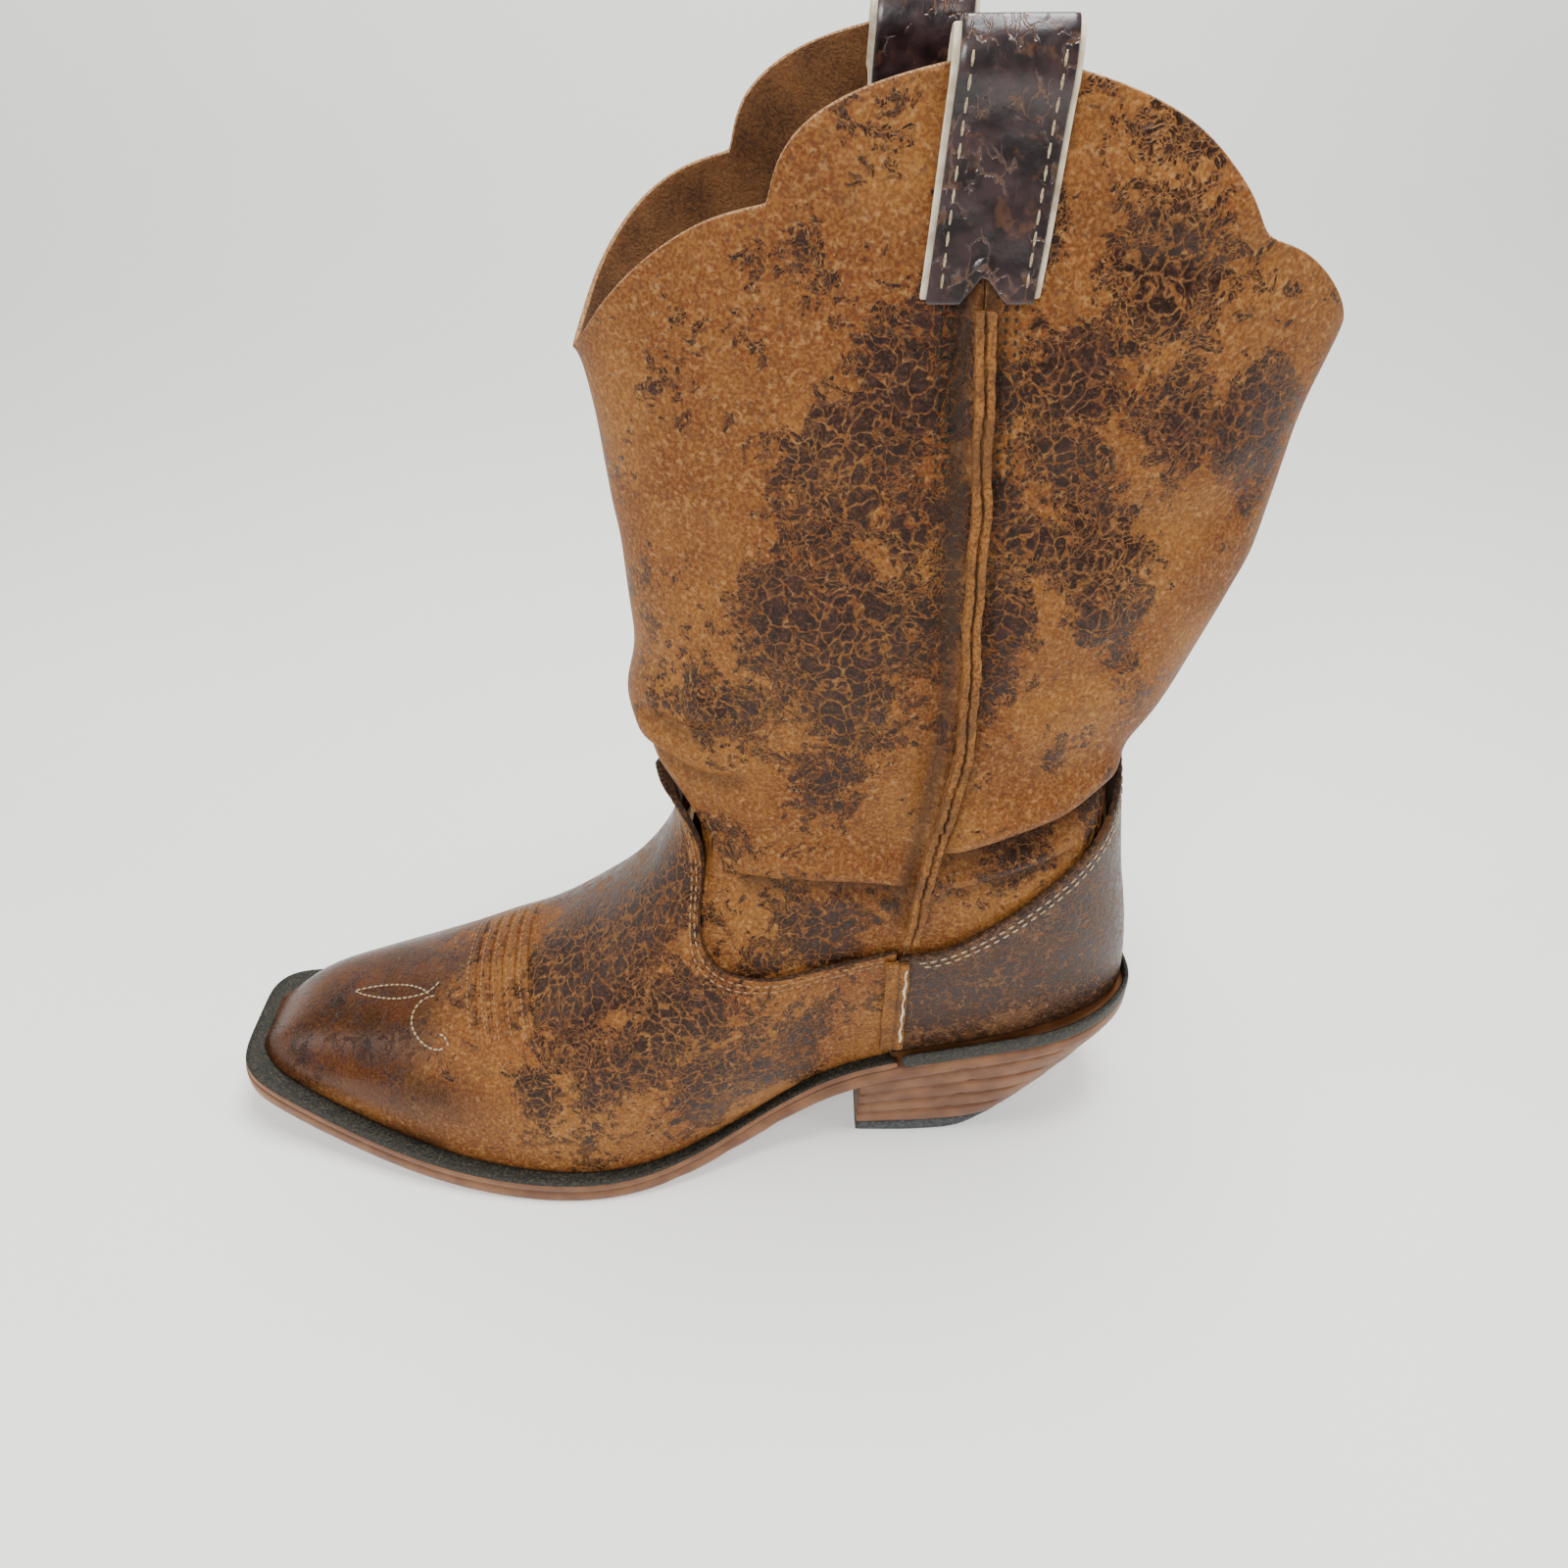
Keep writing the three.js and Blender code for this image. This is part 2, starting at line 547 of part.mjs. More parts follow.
// A pull strap's side view as [distance out from the shaft, height], foot to foot over the top edge.
const strapPath = new THREE.SplineCurve(flat([
  [1.1, STRAP_FOOT], [1.1, 300], [1.3, 318], [2.9, 328], [2.6, 333.8], [-1, 337.4], [-4.6, 333.8],
  [-5.2, 328], [-4.3, 318], [-4.1, 300], [-4.1, STRAP_FOOT + 10],
]));
const strapMiddle = profile([STRAP_FOOT, 228.8], [335, 233]);
const strapSurface = (side, foot, width) => (u, v) => {
  const { x: out, y: z } = strapPath.getPointAt(lerp(foot, 1 - foot, v));
  const x = strapMiddle(z) + (u - 0.5) * width;
  const p = skewed(onSide(side, x, z));
  return p.add(new THREE.Vector3(0, side * out, 0));
};

for (const side of [NEAR, FAR]) {
  const place = side === NEAR ? 'outer' : 'inner';
  const joint = profile([30, JOINT_X + 0.2], [90, JOINT_X + 0.6]);
  const foot = featherHeight(JOINT_X) + 4.5;
  add(`joint_strip_${place}`, seamStrip(side, joint, 7.5, foot, 88, 2.4, 4.1, [2, 6]), TAN);
  const fin = seamStrip(side, sideSeam, FIN_WIDTH, 97, STRAP_FOOT - 1.5, 0, FIN_HEIGHT, [2, 24]);
  add(`side_seam_welt_${place}`, fin, TAN);
  const loop = (p) => {
    const middle = skewed(onSide(side, SEAM_X, Math.min(p.z, 329)));
    return new THREE.Vector3(0, p.y - middle.y + side * 1.6, p.z > 326 ? p.z - 329 : 0);
  };
  add(`pull_strap_${place}`, sheet(2, 26, strapSurface(side, 0, STRAP_WIDTH), 0.15, 1.6, loop), STRAP);
  const backing = sheet(2, 26, strapSurface(side, 0.008, STRAP_WIDTH + 2), -1, -0.15, loop);
  add(`pull_strap_backing_${place}`, backing, PALE);
}

// The bottom: welt round the forepart, rand round the heel seat.
function edgeStrip(from, to, outer, inner, low, high, cells) {
  return bent(cells, 1, (u, v, w) => {
    const on = edgeCurve.getPointAt(lerp(from, to, u));
    const [x, y] = movedIn(on.x, on.y, lerp(outer, inner, v));
    return new THREE.Vector3(x, y, soleBottom(x) + lerp(low, high, w));
  });
}

const weltEnds = [fractionAt(NEAR, JOINT_X + 3), fractionAt(FAR, JOINT_X + 3)];
const aboveOutsole = OUTSOLE + GAP + 0.1;
add('storm_welt', edgeStrip(...weltEnds, 0, 9, aboveOutsole, aboveOutsole + WELT, 56), BLACK);

// The rand wraps the counter cover from outside and runs on into the seat beneath it.
function rand() {
  const ends = [fractionAt(FAR, JOINT_X + 4) - 1, fractionAt(NEAR, JOINT_X + 4)];
  return bent(26, 1, (u, v, w) => {
    const part = lerp(...ends, u);
    const on = edgeCurve.getPointAt((part + 1) % 1);
    const [x, y] = movedIn(on.x, on.y, lerp(-0.5, 1.3, v));
    return new THREE.Vector3(x, y, soleBottom(x) + lerp(aboveOutsole, aboveOutsole + 5.5, w));
  });
}
add('heel_rand', rand(), BLACK);

// Pegs stand in two rows in the waist, nails in a horseshoe in the heel.
const PEG_RADIUS = 1.1;
const NAIL_RADIUS = 1.3;
const PEG_INSET = 13; // from the edge of the waist
const pegPlaces = [146, 158, 170, 182].flatMap((x) => (
  [NEAR, FAR].map((side) => [x, side * (halfWidth(side, x) - PEG_INSET)])
));
const nailPlaces = [[226, -15], [226, 13], [242, -17], [242, 15], [258, -1]];
const pegSpan = (x) => [soleBottom(x) + 0.2, soleBottom(x) + OUTSOLE + 0.1];
const nailSpan = (x) => [TOP_LIFT + 4.5, soleBottom(x) + OUTSOLE - 0.4];
const pegHoles = pegPlaces.map(([x, y]) => (
  post(x, y, soleBottom(x) - 9, soleBottom(x) + 15, PEG_RADIUS + 0.1)
));
const nailHoles = nailPlaces.map(([x, y]) => post(x, y, TOP_LIFT + 4.2, 80, NAIL_RADIUS + 0.15));

const outsole = soleLayer(0, SOLE_LENGTH - 0.8, 0, 0, OUTSOLE, [28, 4]);
add('outsole', drilled(outsole, [...pegHoles, ...nailHoles]), SOLE_TAN);
const innerLow = aboveOutsole + 0.2;
add('cork_filler', soleLayer(2, 145, 10.5, innerLow, innerLow + WELT - 0.2, [16, 3]), CORK);
add('heel_seat_filler', soleLayer(246, 300, 9, innerLow, innerLow + WELT - 0.2, [9, 3]), BOARD);
add('insole', soleLayer(0, SOLE_LENGTH - 0.8, 12, FEATHER + GAP, FEATHER + GAP + INSOLE, [20, 3]), BOARD);
const sockLow = FEATHER + 2 * GAP + INSOLE;
add('sock_liner', soleLayer(0, SOLE_LENGTH - 0.8, 12.6, sockLow, sockLow + SOCK, [20, 3]), LINING_TAN);

function shank() {
  return bent(16, 2, (u, v, w) => {
    const x = lerp(152, 238, u);
    const width = 7 + 5 * smoothstep(u, 0, 1);
    return new THREE.Vector3(x, -4 + (v - 0.5) * width * 2, soleBottom(x) + innerLow + 0.2 + w * 1.4);
  });
}
add('steel_shank', shank(), STEEL);

// ---- the heel -----------------------------------------------------------------------------------
// A layer of the stacked heel between two shares of its height, 0 at the ground and 1 at the seat.
function heelLayer(low, high, lowGap, highGap) {
  return bent(10, 4, (u, v, w) => {
    const share = lerp(low, high, w);
    const atSeat = lerp(HEEL_BREAST + 1, SOLE_LENGTH - 1, Math.sin((u * Math.PI) / 2));
    const atGround = mapLinear(atSeat, HEEL_BREAST + 1, SOLE_LENGTH - 1, HEEL_BREAST, HEEL_FOOT_BACK);
    const x = lerp(atGround, atSeat, share ** 0.9);
    const y = lerp(-halfWidth(NEAR, atSeat), halfWidth(FAR, atSeat), v);
    const seat = soleBottom(x) - 1.5 * GAP;
    return new THREE.Vector3(x, y * lerp(0.87, 0.985, share), share * seat + lerp(lowGap, highGap, w));
  });
}

const rubberShare = 0.185;
add('rubber_top_lift', heelLayer(0, rubberShare, 0, -GAP), RUBBER);
for (let i = 0; i < LIFTS; i += 1) {
  const [low, high] = [i, i + 1].map((n) => lerp(rubberShare, 1, n / LIFTS));
  const lift = heelLayer(low, high, 0, i < LIFTS - 1 ? -GAP : 0);
  add(`heel_lift_${i + 1}`, drilled(lift, nailHoles), SOLE_TAN);
}
nailPlaces.forEach(([x, y], i) => {
  add(`heel_nail_${i + 1}`, post(x, y, ...nailSpan(x), NAIL_RADIUS, 8), STEEL);
});
pegPlaces.forEach(([x, y], i) => add(`waist_peg_${i + 1}`, post(x, y, ...pegSpan(x), PEG_RADIUS, 8), WOOD));

// ---- place the boot's box centred on the origin, standing on z = 0 -------------------------------
const box = new THREE.Box3().setFromObject(boot);
const centre = box.getCenter(new THREE.Vector3());
boot.position.set(-centre.x, -centre.y, -box.min.z);

export default boot;
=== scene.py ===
import math
import random

import bmesh
import bpy
from mathutils import Matrix, Vector, noise
from mathutils.bvhtree import BVHTree


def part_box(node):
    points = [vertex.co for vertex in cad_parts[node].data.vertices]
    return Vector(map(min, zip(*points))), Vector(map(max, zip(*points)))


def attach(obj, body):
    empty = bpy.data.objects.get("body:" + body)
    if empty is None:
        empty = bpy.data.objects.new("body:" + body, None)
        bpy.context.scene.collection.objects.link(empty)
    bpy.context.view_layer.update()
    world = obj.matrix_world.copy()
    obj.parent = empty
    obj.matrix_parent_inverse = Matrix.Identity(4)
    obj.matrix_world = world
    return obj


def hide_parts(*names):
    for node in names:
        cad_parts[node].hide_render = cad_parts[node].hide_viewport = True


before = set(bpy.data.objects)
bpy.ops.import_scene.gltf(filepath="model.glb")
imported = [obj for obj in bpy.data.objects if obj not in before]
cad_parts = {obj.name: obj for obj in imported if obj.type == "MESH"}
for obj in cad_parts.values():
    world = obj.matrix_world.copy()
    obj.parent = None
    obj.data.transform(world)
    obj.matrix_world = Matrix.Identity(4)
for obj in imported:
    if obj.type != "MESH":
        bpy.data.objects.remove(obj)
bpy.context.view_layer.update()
MM = 0.001

# ---- Camera, light and floor ---------------------------------------------------------------------
# The boot stands on a pale sheet that curves up behind it, in the soft light of a white box: one wide
# light overhead, one from the front and a weaker one from each side.
PITCH = math.radians(36)
YAW = math.radians(0.7)
ROLL = math.radians(-0.4)

camera = bpy.data.objects.new("camera", bpy.data.cameras.new("camera"))
camera.data.sensor_width = 36
camera.data.lens = 30.4
camera.matrix_world = (
    Matrix.Translation((0.0289, -0.3260, 0.3691))
    @ Matrix.Rotation(YAW, 4, "Z")
    @ Matrix.Rotation(math.pi / 2 - PITCH, 4, "X")
    @ Matrix.Rotation(ROLL, 4, "Z")
)
bpy.context.scene.collection.objects.link(camera)
bpy.context.scene.camera = camera

world = bpy.data.worlds.new("box")
bpy.context.scene.world = world
world.use_nodes = True
world.node_tree.nodes["Background"].inputs["Color"].default_value = (0.93, 0.96, 0.9, 1)
world.node_tree.nodes["Background"].inputs["Strength"].default_value = 0.3


def area_light(name, place, aim, width, depth, watts):
    light = bpy.data.objects.new(name, bpy.data.lights.new(name, "AREA"))
    light.data.shape = "RECTANGLE"
    light.data.size = width
    light.data.size_y = depth
    light.data.energy = watts
    turn = (Vector(aim) - Vector(place)).to_track_quat("-Z", "Y").to_matrix().to_4x4()
    light.matrix_world = Matrix.Translation(place) @ turn
    bpy.context.scene.collection.objects.link(light)


area_light("light_over", (0.15, 0.0, 1.05), (0, 0, 0.1), 0.5, 0.4, 14)
area_light("light_front", (-0.3, -1.0, 0.85), (0, 0, 0.15), 0.4, 0.3, 10)
area_light("light_left", (-1.0, -0.1, 0.5), (0, 0, 0.1), 0.4, 0.6, 4)
area_light("light_right", (1.0, -0.3, 0.6), (0, 0, 0.15), 0.3, 0.6, 4)


class Wire:
    """An output of a shader node. Arithmetic on it adds Math nodes."""

    def __init__(self, finish, socket):
        self.finish = finish
        self.socket = socket

    def math(self, operation, first, second):
        return self.finish.node("ShaderNodeMath", {"operation": operation}, {0: first, 1: second})

    def __add__(self, other):
        return self.math("ADD", self, other)

    def __sub__(self, other):
        return self.math("SUBTRACT", self, other)

    def __rsub__(self, other):
        return self.math("SUBTRACT", other, self)

    def __mul__(self, other):
        return self.math("MULTIPLY", self, other)

    __radd__ = __add__
    __rmul__ = __mul__

    def larger(self, other):
        return self.math("MAXIMUM", self, other)

    def eased(self, low, high):
        """0 below low and 1 above high, with a soft step between them."""
        settings = {"interpolation_type": "SMOOTHSTEP"}
        return self.finish.node("ShaderNodeMapRange", settings, {0: self, 1: low, 2: high})


class Finish:
    """A material. constants are set on the shader's own sockets."""

    def __init__(self, name, constants):
        self.material = bpy.data.materials.new(name)
        self.material.use_nodes = True
        self.tree = self.material.node_tree
        self.shader = self.tree.nodes["Principled BSDF"]
        for socket, value in constants.items():
            self.shader.inputs[socket].default_value = value
        where = self.node("ShaderNodeTexCoord", {}, {}, "Object")
        millimetres = {0: where, "Scale": 1 / MM}
        self.place = self.node("ShaderNodeVectorMath", {"operation": "SCALE"}, millimetres)

    def node(self, kind, settings, sockets, output=0):
        made = self.tree.nodes.new(kind)
        for key, value in settings.items():
            setattr(made, key, value)
        for key, value in sockets.items():
            self.set(made.inputs[key], value)
        return Wire(self, made.outputs[output])

    def set(self, socket, value):
        if isinstance(value, Wire):
            self.tree.links.new(value.socket, socket)
        elif socket.type == "RGBA":
            socket.default_value = (*value, 1)
        else:
            socket.default_value = value

    def noise(self, place, size, detail=2, output=0):
        """Soft noise around 0.5 with lumps of about size millimetres."""
        sockets = {"Vector": place, "Scale": 1 / size, "Detail": detail}
        return self.node("ShaderNodeTexNoise", {}, sockets, output)

    def cells(self, place, size, feature, output):
        sockets = {"Vector": place, "Scale": 1 / size}
        return self.node("ShaderNodeTexVoronoi", {"feature": feature}, sockets, output)

    def warped(self, place, size, amount):
        sway = self.noise(place, size, 2, "Color")
        sockets = {0: sway, 1: (amount, amount, amount), 2: place}
        return self.node("ShaderNodeVectorMath", {"operation": "MULTIPLY_ADD"}, sockets)

    def stretched(self, factors):
        sockets = {0: self.place, 1: factors}
        return self.node("ShaderNodeVectorMath", {"operation": "MULTIPLY"}, sockets)

    def attribute(self, name):
        return self.node("ShaderNodeAttribute", {"attribute_name": name}, {}, "Fac")

    def mix(self, first, second, factor, blend="MIX"):
        settings = {"data_type": "RGBA", "blend_type": blend}
        return self.node("ShaderNodeMix", settings, {0: factor, 6: first, 7: second}, 2)

    def bump(self, height, strength=1.0):
        """height is in millimetres."""
        sockets = {"Strength": strength, "Distance": MM, "Height": height}
        normal = self.node("ShaderNodeBump", {}, sockets)
        self.set(self.shader.inputs["Normal"], normal)

    def show(self, colour, roughness, height=None):
        self.set(self.shader.inputs["Base Color"], colour)
        self.set(self.shader.inputs["Roughness"], roughness)
        if height is not None:
            self.bump(height)
        return self


def place_piece(name, shape, levels, *finishes):
    """Makes an object of a bmesh, smoothed levels times, with its place in its mesh."""
    piece = bpy.data.objects.new(name, bpy.data.meshes.new(name))
    bpy.context.scene.collection.objects.link(piece)
    shape.to_mesh(piece.data)
    shape.free()
    for finish in finishes:
        piece.data.materials.append(finish.material)
    if levels:
        smoother = piece.modifiers.new("smooth", "SUBSURF")
        smoother.levels = levels
        smoother.render_levels = levels
        seen = piece.evaluated_get(bpy.context.evaluated_depsgraph_get())
        smoothed = bpy.data.meshes.new_from_object(seen)
        piece.modifiers.clear()
        piece.data = smoothed
    piece.data.shade_smooth()
    piece.data.set_sharp_from_angle(angle=math.radians(52))
    return piece


paper = Finish("white_paper", {"Emission Color": (1, 1, 0.97, 1), "Emission Strength": 0.3})
shade = paper.noise(paper.place, 150, 2)
paper.show(paper.mix((0.86, 0.865, 0.84), (0.92, 0.92, 0.9), shade), shade * 0.1 + 0.55)

sheet = bmesh.new()
front = [sheet.verts.new((x, -1.6, 0)) for x in (-2.2, 2.2)]
edge = [sheet.edges.new(front)]
for y, z in ((-0.6, 0), (0.5, 0), (0.7, 0), (0.9, 0.04), (1.03, 0.15), (1.1, 0.4), (1.12, 2.2)):
    swept = bmesh.ops.extrude_edge_only(sheet, edges=edge)["geom"]
    moved = [v for v in swept if isinstance(v, bmesh.types.BMVert)]
    edge = [e for e in swept if isinstance(e, bmesh.types.BMEdge)]
    for v in moved:
        v.co.y = y
        v.co.z = z
bmesh.ops.recalc_face_normals(sheet, faces=sheet.faces)
backdrop = place_piece("backdrop", sheet, 2, paper)

# ---- Leather of the upper ------------------------------------------------------------------------
# Vegetable-tanned cowhide with a brittle dark coat that has cracked and worn off to orange tan. Its
# flesh side is brushed suede, and its cut edges are left raw. The finish is made first, then each
# sheet takes the shape of its pattern piece and is creased and slumped by wear.
CELLS = ((4.8, 0.79), (2.5, 0.72), (1.2, 0.65))  # size of the cells, and what keeps their coat on


def worn_leather(name, tan, pale, dark):
    """Each cell of coat has cracked off or stays, by its place and by the coat painted on the mesh."""
    finish = Finish(name, {"Specular IOR Level": 0.2})
    coat = finish.attribute("coat")
    burnish = finish.attribute("burnish")
    painted_shade = finish.attribute("painted_shade")
    swayed = finish.warped(finish.place, 9, 11)
    crazed = finish.warped(swayed, 1.5, 1.7)
    cover = 0
    bare = 1
    for size, hold in CELLS:
        middle = finish.cells(crazed, size, "F1", "Position")
        crack = finish.cells(crazed, size, "DISTANCE_TO_EDGE", "Distance")
        chance = finish.noise(middle, 22, 2) * 0.6 + finish.noise(middle, 3.6, 1) * 0.5 - 0.05
        stays = (chance + coat * 0.42 - hold).eased(-0.02, 0.035)
        cover = bare * stays * crack.eased(0.01, 0.06 + 0.14 / size) + cover
        bare = (1 - stays) * bare
    wisps = finish.noise(finish.warped(finish.place, 3, 3.5), 1.1, 3)
    cover = cover * (0.55 + wisps.eased(0.3, 0.52) * 0.45)

    broad = finish.noise(finish.place, 32, 3).eased(0.35, 0.68)
    fine = finish.noise(finish.place, 0.9, 3)
    flecks = finish.noise(finish.warped(finish.place, 2, 2), 1.5, 4).eased(0.52, 0.7)
    ground = finish.mix(tan, pale, broad * 0.45 + fine.eased(0.4, 0.62) * 0.55)
    ground = finish.mix(ground, (0.46, 0.25, 0.095), flecks * 0.4)
    pores = finish.cells(finish.place, 1.9, "F1", "Distance").eased(0.33, 0.12)
    pores = pores * finish.noise(finish.place, 6, 2).eased(0.44, 0.58)
    ground = finish.mix(ground, (0.075, 0.035, 0.022), pores * 0.75)
    stain = finish.noise(finish.place, 4, 3).eased(0.5, 0.75) * 0.4 + coat.eased(0.3, 1.1) * 0.28
    stained = finish.mix(ground, (0.085, 0.032, 0.012), stain)
    cloud = finish.noise(finish.place, 3.4, 3).eased(0.42, 0.75)
    coated = finish.mix(dark, (0.03, 0.01, 0.008), cloud)
    colour = finish.mix(stained, coated, cover * 0.93)
    cloud = finish.noise(finish.place, 17, 4).eased(0.36, 0.68)
    polished = finish.mix((0.01, 0.0025, 0.0012), (0.05, 0.012, 0.0035), cloud)
    colour = finish.mix(colour, polished, burnish * (0.9 - fine * 0.2))
    # Painted shade: darkens the leather by the attribute painted on each piece, in folds, grooves and beside seams.
    colour = finish.mix(colour, (0.035, 0.018, 0.01), painted_shade * 0.75)

    gloss = cover.larger(burnish)
    roughness = 0.52 + fine * 0.14 - gloss * 0.3
    grain = finish.noise(finish.place, 0.45, 2) * 0.1 + fine * 0.12
    finish.show(colour, roughness, grain + cover * 0.16 - pores * 0.1 - burnish * grain * 0.6)
    return finish


tan_leather = worn_leather("tan_leather", (0.118, 0.03, 0.0045), (0.27, 0.112, 0.024), (0.007, 0.002, 0.002))
brown_leather = worn_leather("brown_leather", (0.11, 0.044, 0.018), (0.15, 0.075, 0.035), (0.02, 0.01, 0.009))

suede = Finish("suede", {"Specular IOR Level": 0.2, "Sheen Weight": 0.1, "Sheen Roughness": 0.5})
nap = suede.noise(suede.warped(suede.place, 3, 4), 0.8, 4)
shade = suede.noise(suede.place, 14, 3).eased(0.3, 0.7)
colour = suede.mix((0.035, 0.012, 0.004), (0.16, 0.065, 0.02), shade * 0.5 + nap.eased(0.3, 0.7) * 0.5)
suede.show(colour, 0.88 + nap * 0.1, nap * 0.45)

raw_edge = Finish("raw_edge", {"Specular IOR Level": 0.25})
fibre = raw_edge.noise(raw_edge.warped(raw_edge.place, 1.5, 2), 0.6, 4)
colour = raw_edge.mix((0.13, 0.055, 0.022), (0.42, 0.24, 0.11), fibre.eased(0.32, 0.66))
raw_edge.show(colour, 0.8 + fibre * 0.1, fibre * 0.4)

dark_edge = Finish("dark_edge", {"Specular IOR Level": 0.3})
fibre = dark_edge.noise(dark_edge.place, 1.2, 4)
colour = dark_edge.mix((0.028, 0.012, 0.006), (0.13, 0.06, 0.022), fibre.eased(0.4, 0.75))
dark_edge.show(colour, 0.65 + fibre * 0.1, fibre * 0.3)

SHARP = math.radians(55)


def merged(*nodes):
    """A bmesh of CAD nodes: corners merged, pairs of triangles joined, sharp edges kept in place."""
    shape = bmesh.new()
    for node in nodes:
        shape.from_mesh(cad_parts[node].data)
    bmesh.ops.remove_doubles(shape, verts=shape.verts, dist=0.01 * MM)
    bmesh.ops.join_triangles(
        shape, faces=shape.faces, angle_face_threshold=0.8, angle_shape_threshold=math.pi
    )
    return shape


def creased(shape, amount):
    """Keeps the sharp edges of a shape, and the corners where they turn, when it is smoothed."""
    on_edge = shape.edges.layers.float.new("crease_edge")
    on_vert = shape.verts.layers.float.new("crease_vert")
    for e in shape.edges:
        if e.calc_face_angle(0) > SHARP:
            e[on_edge] = amount
    for v in shape.verts:
        rim = [e.other_vert(v).co - v.co for e in v.link_edges if e[on_edge]]
        if len(rim) == 2 and rim[0].angle(-rim[1]) > math.radians(38):
            v[on_vert] = amount
    return shape


def sorted_sides(shape, outwards):
    """Material 0 for the outer face of a sheet, 1 for its inner face and 2 for its cut edge, where the
    way through the leather is long."""
    shape.normal_update()
    tree = BVHTree.FromBMesh(shape)
    left = set()
    for face in shape.faces:
        start = face.calc_center_median() - face.normal * 0.05 * MM
        through = tree.ray_cast(start, -face.normal)[3]
        if through is None or through > 3 * MM:
            face.material_index = 2
        else:
            left.add(face)
    while left:
        region = [left.pop()]
        for face in region:
            for e in face.edges:
                for other in e.link_faces:
                    if other in left and e.calc_face_angle(0) < SHARP:
                        left.discard(other)
                        region.append(other)
        facing = sum(f.normal.dot(outwards(f.calc_center_median())) * f.calc_area() for f in region)
        for face in region:
            face.material_index = 0 if facing > 0 else 1
    return shape


def ramp(value, low, high):
    """A soft step in Python: 0 at low and 1 at high."""
    t = min(max((value - low) / (high - low), 0), 1)
    return t * t * (3 - 2 * t)


def bell(value, width):
    return math.exp(-((value / width) ** 2))


def along(point, path):
    """Distance from a point in the side view to a path, signed + above it, and the share of its length."""
    best = (1e9, 0, 0)
    for i in range(len(path) - 1):
        a, b = Vector(path[i]), Vector(path[i + 1])
        run = b - a
        t = min(max((point - a).dot(run) / run.length_squared, 0), 1)
        off = point - a - run * t
        if off.length < best[0]:
            best = (off.length, math.copysign(1, off.y), (i + t) / (len(path) - 1))
    return best[0] * best[1], best[2]


def shape_points(piece, move):
    """Moves every vertex by move(point in millimetres), which gives millimetres too."""
    for v in piece.data.vertices:
        v.co += move(v.co / MM) * MM
    piece.data.update()


def paint(piece, name, value):
    """Gives every vertex a number from 0 to 1, by its place in millimetres."""
    layer = piece.data.attributes.new(name, "FLOAT", "POINT")
    numbers = [min(max(value(v.co / MM), 0), 1) for v in piece.data.vertices]
    layer.data.foreach_set("value", numbers)


def blot(p, spots):
    """The strongest of some soft round spots (x, z, radius, strength) in the side view."""
    best = 0
    for x, z, radius, strength in spots:
        best = max(best, strength * bell(math.hypot(p.x - x, p.z - z), radius))
    return best


def strayed(p):
    """Wanders a point a little, so that painted spots aren't round."""
    return p + 9 * noise.noise_vector(p * 0.045) + 3 * noise.noise_vector(p * 0.14)


# ---- Shaft ---------------------------------------------------------------------------------------
# Two panels of the worn leather, front and back, unlined, with scalloped tops. They meet in a raised
# seam on each side and run down under the vamp and the counter cover. Wear has creased the front
# over the instep and let the back slump over the counter.
panels = ("front_shaft_panel", "back_shaft_panel")
low_corner = [min(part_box(n)[0][i] for n in panels) / MM for i in range(3)]
high_corner = [max(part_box(n)[1][i] for n in panels) / MM for i in range(3)]
STEP = 10
slices = {}
for node in panels:
    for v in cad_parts[node].data.vertices:
        slices.setdefault(int(v.co.z / MM / STEP), []).append(v.co / MM)


def leg_at(z):
    """Middle and half lengths of the shaft at a height."""
    near = slices[min(max(int(z / STEP), min(slices)), max(slices))]
    xs = [p.x for p in near]
    ys = [p.y for p in near]
    halves = max((max(xs) - min(xs)) / 2, 1), max((max(ys) - min(ys)) / 2, 1)
    return (max(xs) + min(xs)) / 2, (max(ys) + min(ys)) / 2, *halves


LEG = {level: leg_at(level * STEP) for level in range(0, 40)}


def from_leg(p):
    """The direction out of the shaft at a point, level."""
    t = p.z / STEP - 0.5
    low = min(max(int(t), 0), 38)
    x, y, a, b = (m + (n - m) * (t - low) for m, n in zip(LEG[low], LEG[low + 1]))
    return Vector(((p.x - x) / a**2, (p.y - y) / b**2, 0)).normalized()


def outside(p):
    return from_leg(p / MM)


# Folds in the side view: path (x, z), depth of the valley, its width, and height of the roll above it.
FOLDS = (
    (((8, 112), (29, 115.2), (45, 114.7), (68, 112.5)), 3.4, 2.6, 3.4),
    (((130, 143), (118, 138), (104, 133.5), (92, 130.5), (80, 127.5), (66, 123)), 6.5, 3.4, 4.2),
    (((114, 122), (98, 119.5), (84, 115.5), (70, 111)), 2.2, 2.0, 1.4),
    (((-18, 153), (0, 147), (16, 149)), 2.2, 2.6, 1.6),
    (((-18, 166), (-2, 161), (12, 166)), 1.4, 2.8, 1.4),
    (((2, 137), (12, 133), (26, 134)), 1.2, 2.6, 1.0),
    (((84, 246), (104, 232), (128, 226), (150, 232)), 1.8, 8, 0.8),
    (((84, 302), (104, 291), (122, 288), (140, 292)), 1.2, 5, 1.6),
    (((84, 178), (100, 184), (124, 196)), 1.2, 7, 1.0),
)
# The line that the side seam follows down the shaft, as (height, x).
SEAM = ((90, 61), (105, 61.5), (118, 63.5), (135, 66.5), (150, 69), (175, 71.5), (200, 71.3), (283, 69.5), (340, 69))


def seam_at(z):
    for (z0, x0), (z1, x1) in zip(SEAM, SEAM[1:]):
        if z <= z1:
            return x0 + (x1 - x0) * min(max((z - z0) / (z1 - z0), 0), 1)
    return SEAM[-1][1]


